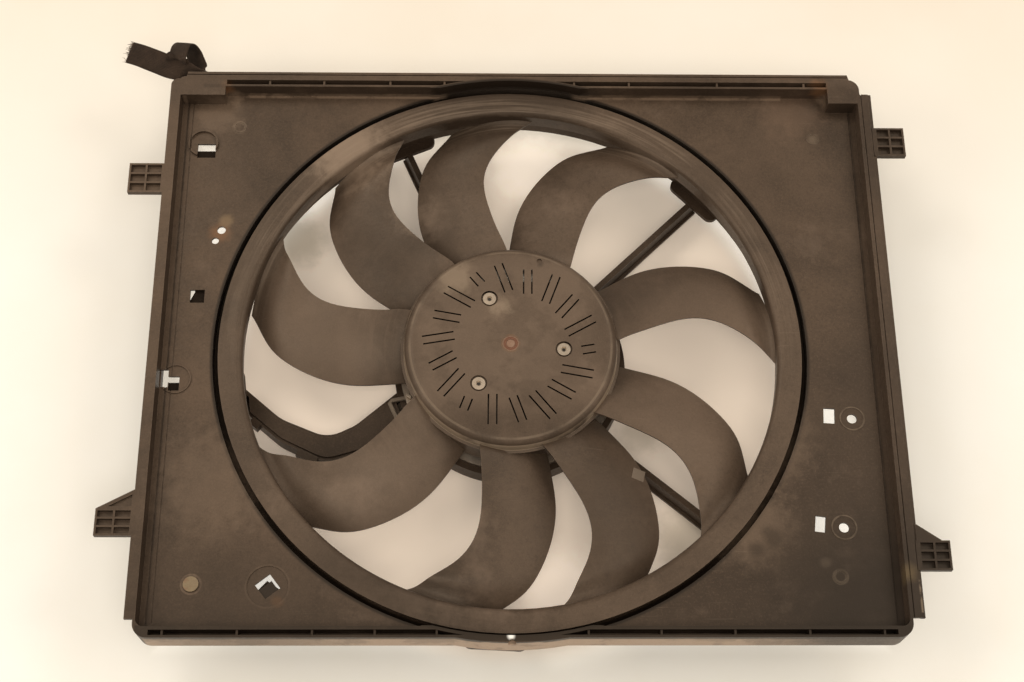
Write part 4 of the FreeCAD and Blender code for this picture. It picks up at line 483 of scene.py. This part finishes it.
def webbing_band(name, route, width, thick, steps=8):
    """A closed band swept along the route; U runs across it and V along it, both in metres."""
    centres = smooth_through([Vector(p) * MM for p, _ in route], steps)
    across = smooth_through([Vector(a).normalized() for _, a in route], steps)
    profile = [(-0.5, 0), (-0.47, 0.5), (-0.3, 0.56), (0, 0.6), (0.3, 0.56), (0.47, 0.5),
               (0.5, 0), (0.47, -0.5), (0.3, -0.56), (0, -0.6), (-0.3, -0.56), (-0.47, -0.5)]
    mesh, far = bmesh.new(), 0.0
    uv_layer = mesh.loops.layers.uv.new("weave")
    rows, along = [], []
    for i, centre in enumerate(centres):
        ahead = centres[min(i + 1, len(centres) - 1)] - centres[max(i - 1, 0)]
        side = (across[i] - ahead * (across[i].dot(ahead) / ahead.length_squared)).normalized()
        up = ahead.cross(side).normalized()
        far += (centre - centres[i - 1]).length if i else 0.0
        along.append(far)
        rows.append([mesh.verts.new(centre + side * (u * width) + up * (v * thick)) for u, v in profile])
    count = len(profile)
    for i in range(len(rows) - 1):
        for j in range(count):
            k = (j + 1) % count
            face = mesh.faces.new((rows[i][j], rows[i][k], rows[i + 1][k], rows[i + 1][j]))
            face.smooth = True
            for loop, (row, col) in zip(face.loops, ((i, j), (i, k), (i + 1, k), (i + 1, j))):
                loop[uv_layer].uv = (profile[col][0] * width, along[row])
    for row, flip in ((rows[0], True), (rows[-1], False)):
        face = mesh.faces.new(row[::-1] if flip else row)
        for loop in face.loops:
            loop[uv_layer].uv = (0.0, 0.0 if flip else far)
    bmesh.ops.recalc_face_normals(mesh, faces=mesh.faces)
    data = bpy.data.meshes.new(name)
    mesh.to_mesh(data)
    mesh.free()
    band = bpy.data.objects.new(name, data)
    bpy.context.scene.collection.objects.link(band)
    return band, far


def frayed_end():
    """Loose threads beyond the cut end of the strap, each a thin three-sided tail."""
    luck, threads, third = random.Random(11), 110, math.tau / 3
    mesh = bmesh.new()
    end, across = Vector(STRAP_ROUTE_MM[0][0]) * MM, Vector(STRAP_ROUTE_MM[0][1]).normalized()
    out = (end - Vector(STRAP_ROUTE_MM[1][0]) * MM).normalized()
    up = across.cross(out).normalized()
    for _ in range(threads):
        along = luck.uniform(-0.5, 0.5)
        root = end + across * (along * WEB_WIDTH) - out * 0.0006 + up * luck.uniform(-0.0006, 0.0006)
        long = luck.uniform(0.001, 0.0032) + (0.0035 if luck.random() < 0.16 else 0.0)
        spread = across * (luck.uniform(-0.45, 0.45) - along * 0.5)
        lean = (out + spread + up * luck.uniform(-0.4, 0.5)).normalized()
        curl = across * luck.uniform(-0.3, 0.3) + up * luck.uniform(-0.3, 0.3)
        rings = []
        for share, thick in ((0.0, 0.00026), (0.5, 0.0002), (1.0, 0.00009)):
            centre = root + lean * (long * share) + curl * (long * share * share)
            rings.append([mesh.verts.new(centre + across * (math.cos(k * third) * thick)
                                         + up * (math.sin(k * third) * thick)) for k in range(3)])
        for lower, upper in zip(rings, rings[1:]):
            for j in range(3):
                k = (j + 1) % 3
                mesh.faces.new((lower[j], lower[k], upper[k], upper[j]))
        mesh.faces.new(rings[0][::-1])
        mesh.faces.new(rings[-1])
    bmesh.ops.recalc_face_normals(mesh, faces=mesh.faces)
    data = bpy.data.meshes.new("strap_fray")
    mesh.to_mesh(data)
    mesh.free()
    data.materials.append(finishes["thread"])
    fray = bpy.data.objects.new("strap_fray", data)
    bpy.context.scene.collection.objects.link(fray)
    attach(fray, "housing")


def strap():
    """The woven band that stands for the plain strap."""
    band, length = webbing_band("webbing_strap", STRAP_ROUTE_MM, WEB_WIDTH, WEB_THICK)
    band.data.materials.append(finishes["webbing"])
    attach(band, "housing")
    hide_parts("strap")


def woven_webbing():
    """Dark woven polyester, a herringbone of ribs across the band, with grime in the hollows."""
    f = Finish("dark_webbing", **{"Specular_IOR_Level": 0.25})
    at = f.parts(f.add("ShaderNodeUVMap", uv_map="weave").outputs["UV"])
    across, along = at["X"], at["Y"]
    zigzag = f.math("PINGPONG", across, 0.0025)
    rib = f.math("SINE", f.math("MULTIPLY", f.math("ADD", along, zigzag), 2 * math.pi / 0.0011))
    cord = f.math("SINE", f.math("MULTIPLY", across, 2 * math.pi / 0.0013))
    height = f.math("ADD", f.math("MULTIPLY", rib, 0.6), f.math("MULTIPLY", cord, 0.4))
    tone = f.blend(f.fade(height, -0.8, 0.9), rgb(0.012, 0.0065, 0.0035), rgb(0.05, 0.029, 0.017))
    tone = f.blend(f.use("patches", Scale=60.0, Low=0.4, High=0.65), tone, rgb(0.055, 0.032, 0.019))
    tone = f.blend(f.use("dust", Scale=40.0, Amount=0.25), tone, rgb(0.11, 0.07, 0.044))
    fuzz = f.noise(f.place(), 2600, 2)
    return f.finish(tone, f.fade(fuzz, 0.3, 0.7, (0.75, 0.92)), f.math("ADD", height, fuzz), 0.0005, 1.0)


# ---------------------------------------------------------------- small pieces and the floor

def piece(name, mesh, body, finish):
    """Puts a finished mesh in the scene on one body."""
    data = bpy.data.meshes.new(name)
    bmesh.ops.recalc_face_normals(mesh, faces=mesh.faces)
    mesh.to_mesh(data)
    mesh.free()
    data.materials.append(finish)
    obj = bpy.data.objects.new(name, data)
    bpy.context.scene.collection.objects.link(obj)
    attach(obj, body)
    return obj


TAG_PLACE, TAG_HALF, TAG_TURN = (0.1030, -0.1022, 0), 0.0050, math.radians(-14)


def paper_tag():
    """A bare square tag stuck on one blade, laid on the blade's own face."""
    fan, count = node_of["fan"], 6
    middle, up, over = Vector(TAG_PLACE), Vector((0, 0, 1)), Vector((0, 0, 0.2))
    along = Vector((math.cos(TAG_TURN), math.sin(TAG_TURN), 0))
    aside = Vector((-along.y, along.x, 0))
    while not fan.ray_cast(middle + over, -up)[0]:         # back from the edge until it lies on the blade
        middle.y -= 0.0004
    mesh, grid = bmesh.new(), {}
    _, centre, level, _ = fan.ray_cast(middle + over, -up)
    for side, lift in (("low", -0.0002), ("high", 0.00022)):
        for i in range(count + 1):
            for j in range(count + 1):
                u, v = (2 * i / count - 1) * TAG_HALF, (2 * j / count - 1) * TAG_HALF
                above = middle + over + along * u + aside * v
                hit, place, normal, _ = fan.ray_cast(above, -up)
                if not hit or (place - centre).length > 2 * TAG_HALF:      # a corner that overhangs the edge
                    drop = (above - centre).dot(level) / level.z
                    place, normal = above - up * drop, level
                grid[side, i, j] = mesh.verts.new(place + normal * lift)
    for i in range(count):
        for j in range(count):
            mesh.faces.new([grid["high", a, b] for a, b in ((i, j), (i + 1, j), (i + 1, j + 1), (i, j + 1))])
            mesh.faces.new([grid["low", a, b] for a, b in ((i, j), (i, j + 1), (i + 1, j + 1), (i + 1, j))])
    for k in range(count):
        for a, b in (((k, 0), (k + 1, 0)), ((count, k), (count, k + 1)), ((k + 1, count), (k, count)),
                     ((0, k + 1), (0, k))):
            mesh.faces.new((grid["low", *a], grid["low", *b], grid["high", *b], grid["high", *a]))
    piece("paper_tag", mesh, "rotor", finishes["paper"])


TONGUE_BACK, TONGUE_FRONT = 0.0698, 0.0714
# outlines of the tongues behind the arch, the square, the turned square and the T
CATCHES_MM = [[(-268.7, 181.8), (-251.2, 181.9), (-250.6, 172.4), (-268.5, 172.3)],
              [(-258.9, 52.1), (-250.0, 52.1), (-249.0, 37.1), (-264.6, 37.1), (-263.7, 41.6)],
              [(-187.8, -195.3), (-178.1, -202.0), (-186.3, -212.2), (-197.0, -205.3)],
              [(-276.0, -31.9), (-265.2, -31.8), (-264.5, -41.5), (-275.2, -41.6)]]


def catch_tongues():
    """The thin tongues of the catches behind four of the panel's holes, near black as painted shade."""
    mesh = bmesh.new()
    for outline in CATCHES_MM:
        low = [mesh.verts.new((x * MM, y * MM, TONGUE_BACK)) for x, y in outline]
        high = [mesh.verts.new((x * MM, y * MM, TONGUE_FRONT)) for x, y in outline]
        mesh.faces.new(low[::-1])
        mesh.faces.new(high)
        for i in range(len(outline)):
            j = (i + 1) % len(outline)
            mesh.faces.new((low[i], low[j], high[j], high[i]))
    piece("catch_tongues", mesh, "housing", finishes["recess"])


def turned_ring(name, stations, finish):
    """A closed ring round the axis, turned from (radius, height) stations, on the rotor."""
    mesh, sides = bmesh.new(), 48
    rows = [[mesh.verts.new((radius * math.cos(math.tau * k / sides),
                             radius * math.sin(math.tau * k / sides), z))
             for k in range(sides)] for radius, z in stations]
    for i, inner in enumerate(rows):
        outer = rows[(i + 1) % len(rows)]
        for k in range(sides):
            j = (k + 1) % sides
            mesh.faces.new((inner[k], inner[j], outer[j], outer[k]))
    piece(name, mesh, "rotor", finish)


def hub_height(x, y):
    """Where the hub's face stands at one point."""
    return node_of["fan"].ray_cast(Vector((x, y, 0.2)), Vector((0, 0, -1)))[1].z


def shaft_rust():
    """The rusty crust next to the end of the shaft."""
    face = hub_height(0.0078, 0)
    turned_ring("shaft_rust", ((0.0036, face - 0.0009), (0.0036, face - 0.0004), (0.0062, face - 0.0003),
                               (0.0062, face - 0.0009)), finishes["crust"])


def packed_dust():
    """The dust packed in the gap between the shaft's end and the hub, round the rust."""
    top = hub_height(0.0095, 0.003) - 0.00025
    turned_ring("packed_dust", ((0.00385, top - 0.003), (0.00385, top - 0.0002), (0.0048, top - 0.0004),
                                (0.0061, top), (0.0068, top + 0.0001), (0.0068, top - 0.003)), finishes["packed"])


GUIDE_ROUTE_MM = ((-82.5, -28.2), (-90, -29.2), (-98.2, -31.0), (-99.8, -33.4), (-97.0, -39.5),
                  (-93.2, -47.5))
GUIDE_LOW, GUIDE_HIGH, GUIDE_HALF, GUIDE_EDGE = 27.6 * MM, 31.2 * MM, 1.7 * MM, 0.6 * MM


def lead_guide():
    """The bent guide that holds the lead where it enters its duct."""
    mesh, rows = bmesh.new(), []
    route = [Vector((x, y, 0)) * MM for x, y in GUIDE_ROUTE_MM]
    shoulder = GUIDE_HIGH - GUIDE_EDGE
    section = ((-1, GUIDE_LOW), (1, GUIDE_LOW), (1, shoulder), (0.6, GUIDE_HIGH), (-0.6, GUIDE_HIGH),
               (-1, shoulder))
    for i, at in enumerate(route):
        ahead = (route[min(i + 1, len(route) - 1)] - route[max(i - 1, 0)]).normalized()
        across = Vector((-ahead.y, ahead.x, 0)) * GUIDE_HALF
        rows.append([mesh.verts.new(at + across * u + Vector((0, 0, z))) for u, z in section])
    for lower, upper in zip(rows, rows[1:]):
        for j in range(len(section)):
            k = (j + 1) % len(section)
            mesh.faces.new((lower[j], lower[k], upper[k], upper[j]))
    mesh.faces.new(rows[0][::-1])
    mesh.faces.new(rows[-1])
    piece("lead_guide", mesh, "housing", finishes["sheath"])


# where the floor seen through the opening is shaded or lit: place, strength and reach
SHADED_SPOTS = (((-0.185, 0.133, 0.0), 0.50, 0.035), ((0.149, -0.142, 0.0), 0.40, 0.040),
                ((0.111, -0.046, 0.0), 0.30, 0.030))
LIT_SPOTS = (((0.020, 0.205, 0.0), 0.34, 0.050), ((0.041, -0.184, 0.0), 0.28, 0.050))


def floor():
    """A pale sheet that glows as painted light, as on a light table, brighter where the part covers it."""
    f = Finish("paper_floor_with_painted_light")
    cloud = f.fade(f.noise(f.place(), 6, 6, 0.6), 0.3, 0.7)
    mottle = f.blend(cloud, rgb(0.885, 0.85, 0.78), rgb(0.87, 0.825, 0.74))
    away = f.vector("LENGTH", f.vector("MULTIPLY", f.place(), (1, 1, 0)))
    inside = f.less(f.fade(away, 0.222, 0.25))
    # a painted warm bounce light on the floor under the fan
    tone = f.lay(mottle, inside, 0.85, rgb(0.86, 0.71, 0.57))
    # the painted glow, strongest under the panel and weaker under the fan
    under = f.use("block", Centre=(0.01, 0.0, 0.0), Half=(0.27, 0.21, 0.01), Soft=0.03, Broken=0.0)
    glow = f.math("MULTIPLY", under, f.fade(inside, 0.0, 1.0, (0.62, 0.2)))
    for at, much, reach in SHADED_SPOTS:
        shade = f.math("MULTIPLY", f.use("stain", Centre=at, Reach=reach, Ragged=0.02), much)
        tone = f.blend(shade, tone, rgb(0.36, 0.3, 0.2))
        glow = f.math("MULTIPLY", glow, f.less(shade))
    for at, much, reach in LIT_SPOTS:
        light = f.math("MULTIPLY", f.use("stain", Centre=at, Reach=reach, Ragged=0.02), much)
        glow = f.math("ADD", glow, light)
    # painted shade: the floor darker towards the far side
    tone = f.blend(f.use("slope", Along=(0, 1, 0), Low=0.02, High=0.42), tone, f.blend(
        f.fade(f.noise(f.place(), 3), 0.35, 0.65), rgb(0.80, 0.715, 0.60), rgb(0.83, 0.76, 0.66)))
    f.feed(f.shader.inputs["Emission Color"], tone)
    f.feed(f.shader.inputs["Emission Strength"], glow)
    roughness = f.fade(f.noise(f.place(), 40), 0.2, 0.8, (0.7, 0.9))
    f.finish(tone, roughness, f.noise(f.place(), 700, 3), 0.0002, 0.3)
    mesh = bpy.data.meshes.new("floor")
    half = 4.0
    corners = [(-half, -half, 0), (half, -half, 0), (half, half, 0), (-half, half, 0)]
    mesh.from_pydata(corners, [], [(0, 1, 2, 3)])
    mesh.materials.append(f.material)
    plane = bpy.data.objects.new("floor", mesh)
    bpy.context.scene.collection.objects.link(plane)


# ---------------------------------------------------------------- finishes of this unit

DEEP, FADED, DUST = rgb(0.026, 0.0165, 0.0105), rgb(0.05, 0.032, 0.0205), rgb(0.13, 0.084, 0.054)
# the near black at the end of this line is only used as painted shade in holes, slots, sockets and cells
RUST, PALE, SHADE_BLACK = rgb(0.17, 0.08, 0.035), rgb(0.36, 0.27, 0.185), rgb(0.006, 0.004, 0.003)
ROOT = rgb(0.20, 0.135, 0.09)
LEVEL = 0.0757                                    # just over the panel's front face

shroud_marks = [
    # painted shade in the gap round the fan, and a painted shade sheet behind the panel's holes
    ring((0, 0, 0), 0.2402, 0.005, 0.95, rgb(0.009, 0.0055, 0.0035), broken=0.0),
    bar((0.0105, 0, 0.07015), (0.289, 0.232, 0.0032), 0.0002, 0.9, SHADE_BLACK, broken=0.0),
    # painted light on the face of the bottom wall, and painted shade on its rim and channel
    bar((0.009, -0.2462, 0.0745), (0.3, 0.0028, 0.0125), 0.0012, 0.85, rgb(0.44, 0.315, 0.225), grain=30,
        broken=0.3),
    bar((0.009, -0.2404, 0.0883), (0.291, 0.0057, 0.0035), 0.0005, 0.85, rgb(0.013, 0.0085, 0.0055),
        grain=40, broken=0.15),
    # wiped and soiled patches of the panel
    spot((0.2, -0.085, LEVEL), 0.055, 0.06, 0.3, ROOT),
    spot((0.188, -0.15, LEVEL), 0.045, 0.06, 0.34, ROOT),
    spot((0.203, -0.162, LEVEL), 0.012, 0.02, 0.6, rgb(0.02, 0.0125, 0.008)),
    spot((0.191, -0.171, LEVEL), 0.009, 0.016, 0.6, rgb(0.02, 0.0125, 0.008)),
    spot((-0.235, -0.12, LEVEL), 0.06, 0.08, 0.26, ROOT),
    spot((-0.251, 0.215, LEVEL), 0.028, 0.04, 0.3, ROOT),
    spot((0.245, 0.222, LEVEL), 0.04, 0.05, 0.3, rgb(0.17, 0.105, 0.068)),
    # painted shade: the panel darker towards its bottom right corner
    spot((0.29, -0.235, LEVEL), 0.13, 0.05, 0.85, rgb(0.012, 0.008, 0.0055)),
    # a white chip in the middle of the bottom rim
    spot((-0.001, -0.2425, 0.09), 0.0042, 0.0004, 1.0, rgb(0.85, 0.82, 0.76)),
    # dust along the foot of the top wall, painted shade on the top wall's face, and dust and rust beside the
    # corner blocks
    bar((0.004, 0.2342, 0.0755), (0.232, 0.0005, 0.003), 0.0016, 0.6, ROOT, grain=60, broken=0.6),
    bar((0.006, 0.2352, 0.084), (0.268, 0.0005, 0.0065), 0.002, 0.45, rgb(0.018, 0.011, 0.007), grain=70,
        broken=0.7),
    spot((-0.2385, 0.2345, 0.077), 0.0105, 0.014, 0.6, ROOT),
    spot((-0.2435, 0.2365, 0.085), 0.009, 0.009, 0.6, RUST),
    spot((0.2765, 0.2335, 0.077), 0.0105, 0.014, 0.6, ROOT),
    spot((0.269, 0.2385, 0.086), 0.012, 0.011, 0.6, RUST),
    # a painted highlight on the left wall's inner face, and painted shade along the foot of both side walls
    bar((-0.2796, 0.0, 0.0825), (0.0011, 0.227, 0.006), 0.0012, 0.45, ROOT, grain=45, broken=0.75),
    bar((-0.2772, 0.0, LEVEL), (0.0002, 0.232, 0.002), 0.0013, 0.6, GRIME_AND_SHADE, broken=0.4),
    bar((0.2956, 0.0, LEVEL), (0.0003, 0.232, 0.002), 0.0014, 0.6, GRIME_AND_SHADE, broken=0.4),
    # rust from what was bolted on, and dust about the holes and the ejector marks
    spot((-0.2425, 0.1015, LEVEL), 0.0125, 0.009, 0.65, RUST),
    spot((-0.2385, 0.1125, LEVEL), 0.009, 0.008, 0.55, rgb(0.2, 0.13, 0.07)),
    spot((-0.1795, -0.212, LEVEL), 0.007, 0.01, 0.32, RUST),
    spot((0.262, 0.1945, LEVEL), 0.008, 0.009, 0.14, PALE),
    ring((-0.187, -0.2005, 0), 0.0166, 0.0011, 0.16, ROOT),
    ring((-0.2455, -0.199, 0), 0.0075, 0.0012, 0.45, ROOT),
    ring((0.274, -0.063, 0), 0.0096, 0.0010, 0.17, PALE),
    ring((0.26, -0.1536, 0), 0.0096, 0.0010, 0.17, PALE),
    ring((-0.2325, 0.2036, 0), 0.005, 0.0018, 0.12, PALE),
    ring((0.254, -0.193, 0), 0.005, 0.002, 0.1, PALE),
    spot((0.243, -0.182, LEVEL), 0.006, 0.006, 0.06, PALE),
    # painted shade in the cells of the lugs, painted light on the right wall's inner face, painted shade towards
    # the bottom left corner, and more soiling
    bar((0.3285, 0.0, 0.0843), (0.011, 0.21, 0.0026), 0.0006, 0.75, SHADE_BLACK, broken=0.1),
    bar((-0.3285, 0.0, 0.0843), (0.011, 0.21, 0.0026), 0.0006, 0.75, SHADE_BLACK, broken=0.1),
    bar((0.3005, 0.0, 0.083), (0.0012, 0.23, 0.007), 0.0006, 0.5, rgb(0.10, 0.066, 0.044), broken=0.4),
    spot((-0.2, -0.235, LEVEL), 0.1, 0.06, 0.4, rgb(0.018, 0.0115, 0.0075)),
    spot((0.302, -0.194, 0.086), 0.012, 0.01, 0.4, rgb(0.16, 0.11, 0.05)),
    # a scuff along the right ledge
    bar((0.3105, -0.212, 0.0905), (0.0002, 0.012, 0.001), 0.0012, 0.4, PALE, broken=0.9),
]
fan_marks = [
    # the hub's paler middle, painted highlights along its edge, broken up by noise, and the rust about the shaft
    bar((-0.004, 0.012, 0.084), (0.06, 0.052, 0.003), 0.03, 0.38, rgb(0.185, 0.128, 0.089), grain=22,
        broken=0.4),
    ring((0, 0, 0), 0.0822, 0.0012, 0.16, PALE, grain=26, broken=1.0),
    ring((0, 0, 0), 0.0872, 0.0008, 0.55, PALE, grain=24, broken=1.0),
    ring((0, 0, 0), 0.0062, 0.0024, 0.3, RUST, broken=0.7),
    # blades and ring, some paler and some darker than the rest
    spot((-0.155, 0.002, 0.06), 0.085, 0.05, 0.3, rgb(0.2, 0.14, 0.098)),
    spot((-0.105, -0.115, 0.06), 0.08, 0.05, 0.3, rgb(0.2, 0.14, 0.098)),
    spot((0.15, 0.02, 0.06), 0.09, 0.05, 0.22, rgb(0.19, 0.13, 0.09)),
    spot((0.135, -0.06, 0.06), 0.07, 0.05, 0.24, rgb(0.19, 0.13, 0.09)),
    spot((-0.09, 0.1, 0.06), 0.075, 0.05, 0.5, rgb(0.03, 0.019, 0.012)),
    spot((0.075, -0.135, 0.06), 0.085, 0.05, 0.5, rgb(0.03, 0.019, 0.012)),
    spot((0.0, 0.236, 0.075), 0.11, 0.06, 0.62, rgb(0.026, 0.017, 0.011)),
    spot((-0.14, 0.182, 0.075), 0.048, 0.05, 0.6, rgb(0.28, 0.2, 0.14)),
    spot((-0.078, 0.128, 0.062), 0.03, 0.034, 0.4, rgb(0.24, 0.17, 0.12)),
    spot((-0.11, -0.205, 0.075), 0.11, 0.06, 0.5, rgb(0.028, 0.018, 0.0115)),
    spot((-0.222, 0.05, 0.075), 0.05, 0.05, 0.3, rgb(0.03, 0.0195, 0.0125)),
    # painted shade in the hub's slots and dimple, and its scuffs
    ("slot_walls", {"Radius": 0.059, "Width": 0.029}, 0.95, SHADE_BLACK),
    spot((0.0249, 0.0714, 0.084), 0.006, 0.0004, 1.0, SHADE_BLACK),
    spot((-0.045, 0.058, 0.084), 0.022, 0.03, 0.3, PALE),
    spot((-0.008, 0.032, 0.084), 0.013, 0.024, 0.3, PALE),
    spot((0.03, -0.02, 0.084), 0.04, 0.05, 0.2, rgb(0.06, 0.04, 0.027)),
    spot((0.078, -0.017, 0.084), 0.0012, 0.0004, 0.9, rgb(0.8, 0.76, 0.7)),
]
# the bell shows through the hub's slots, brown in the middle, with painted light under the top slots
bell_marks = [
    ring((0, 0, 0), 0.0, 0.009, 0.9, rgb(0.2, 0.125, 0.08), broken=0.0),
    bar((0.006, 0.064, 0.0735), (0.034, 0.005, 0.002), 0.002, 0.9, rgb(0.62, 0.55, 0.46), broken=0.5),
]
# dusty tops, and painted shade in the socket of each fan screw
SCREW_CIRCLE, FIRST_SCREW, SCREWS = 0.0435, 113.4, 3
screw_marks = [("facing", {"Way": (0, 0, 1)}, 0.35, rgb(0.42, 0.34, 0.26))]
for i in range(SCREWS):
    turn = math.radians(FIRST_SCREW + 360 / SCREWS * i)
    socket = (SCREW_CIRCLE * math.cos(turn), SCREW_CIRCLE * math.sin(turn), 0)
    screw_marks.append(ring(socket, 0.0, 0.0021, 0.92, SHADE_BLACK, broken=0.0))

finishes = {
    "shroud": dusty_plastic("faded_shroud_plastic", DEEP, FADED, DUST, shroud_marks, dust_amount=0.62,
                            shade_and_dust_drift=((-0.5, 0.86, 0.0), -0.32, 0.1), level=0.32),
    "fan": dusty_plastic("fan_plastic", rgb(0.03, 0.0195, 0.0125), rgb(0.055, 0.036, 0.0235),
                         rgb(0.135, 0.09, 0.06), fan_marks, dust_amount=0.5, rough=(0.4, 0.62), streaked=True,
                         shade_and_dust_drift=((-0.5, 0.85, 0.0), -0.9, -0.1), level=0.34),
    "carrier": dusty_plastic("carrier_plastic", rgb(0.018, 0.011, 0.007), rgb(0.034, 0.021, 0.013), DUST,
                             dust_amount=0.3, level=0.25),
    # near black with little sheen: painted shade for the catch tongues
    "recess": dusty_plastic("shadowed_catch_plastic", rgb(0.006, 0.004, 0.003), rgb(0.012, 0.008, 0.0055),
                            rgb(0.03, 0.02, 0.013), dust_amount=0.3, level=0.04),
    "board": dusty_plastic("solder_masked_board", rgb(0.012, 0.05, 0.02), rgb(0.02, 0.075, 0.03),
                           rgb(0.1, 0.1, 0.07), dust_amount=0.15),
    "rubber": dusty_plastic("black_rubber", rgb(0.016, 0.015, 0.014), rgb(0.03, 0.028, 0.026), DUST,
                            dust_amount=0.2, rough=(0.6, 0.85)),
    "sheath": dusty_plastic("grey_lead_sheath", rgb(0.10, 0.08, 0.062), rgb(0.16, 0.125, 0.09),
                            rgb(0.24, 0.175, 0.12), dust_amount=0.5, rough=(0.5, 0.75)),
    "paper": dusty_plastic("bare_paper_tag", rgb(0.10, 0.076, 0.056), rgb(0.14, 0.106, 0.078),
                           rgb(0.17, 0.128, 0.095), dust_amount=0.4, rough=(0.6, 0.85)),
    "crust": dusty_plastic("rusty_crust", rgb(0.06, 0.026, 0.015), rgb(0.15, 0.062, 0.036),
                           rgb(0.2, 0.105, 0.068), dust_amount=0.35, rough=(0.8, 0.95)),
    "packed": dusty_plastic("packed_rusty_dust", rgb(0.15, 0.085, 0.055), rgb(0.2, 0.12, 0.08),
                            rgb(0.2, 0.13, 0.09), dust_amount=0.4, rough=(0.8, 0.95)),
    "thread": dusty_plastic("loose_thread", rgb(0.03, 0.018, 0.01), rgb(0.07, 0.045, 0.028),
                            rgb(0.12, 0.08, 0.055), dust_amount=0.3, rough=(0.7, 0.9)),
    "webbing": woven_webbing(),
    "zinc": worn_metal("zinc_plated_steel", rgb(0.5, 0.42, 0.32), rgb(0.34, 0.27, 0.2), 0.15,
                       marks=screw_marks),
    "brass": worn_metal("dusty_plug", rgb(0.2, 0.15, 0.09), rgb(0.15, 0.11, 0.065), 0.25, rough=(0.5, 0.8),
                        dusty=0.35),
    "bell": worn_metal("blackened_steel", rgb(0.035, 0.028, 0.022), rgb(0.02, 0.015, 0.011), 0.2,
                       marks=bell_marks, dusty=0.12),
    "steel": worn_metal("rusted_steel", rgb(0.3, 0.2, 0.15), rgb(0.22, 0.12, 0.08), 0.95, rough=(0.45, 0.85)),
    "bright": worn_metal("bearing_steel", rgb(0.6, 0.58, 0.55), rgb(0.42, 0.39, 0.35), 0.1, dusty=0.1),
    "aluminium": worn_metal("cast_aluminium", rgb(0.4, 0.34, 0.28), rgb(0.26, 0.21, 0.16), 0.0,
                            rough=(0.42, 0.75), cast=True, dusty=0.7),
    "magnet": worn_metal("magnet_ferrite", rgb(0.05, 0.048, 0.046), rgb(0.03, 0.029, 0.028), 0.3,
                         rough=(0.4, 0.7), cast=True),
    "lamination": worn_metal("lacquered_laminations", rgb(0.2, 0.18, 0.16), rgb(0.12, 0.1, 0.09), 0.5,
                             rough=(0.4, 0.7)),
    "copper": worn_metal("enamelled_copper", rgb(0.55, 0.22, 0.08), rgb(0.38, 0.13, 0.05), 0.0,
                         rough=(0.25, 0.5), dusty=0.1),
}
nodes_with = {
    "shroud": ["shroud"],
    "fan": ["fan"],
    "carrier": ["motor_carrier", "duct_cover"],
    "zinc": ["fan_screws", "carrier_screws", "motor_screws", "cover_screws"],
    "steel": ["motor_shaft"],
    "bell": ["rotor_bell"],
    "aluminium": ["motor_case", "rear_cover"],
    "brass": ["blanking_plug"],
    "bright": ["front_bearing", "rear_bearing", "retaining_ring", "spring_washer"],
    "magnet": ["magnet_ring"],
    "lamination": ["stator_core"],
    "copper": ["stator_windings"],
    "board": ["control_board"],
    "rubber": ["cover_seal"],
    "sheath": ["motor_lead"],
}
for finish, names in nodes_with.items():
    for name in names:
        materials = node_of[name].data.materials
        materials.clear()
        materials.append(finishes[finish])


# ---------------------------------------------------------------- run

set_camera()
set_studio()
floor()
strap()
frayed_end()
paper_tag()
packed_dust()
catch_tongues()
shaft_rust()
lead_guide()
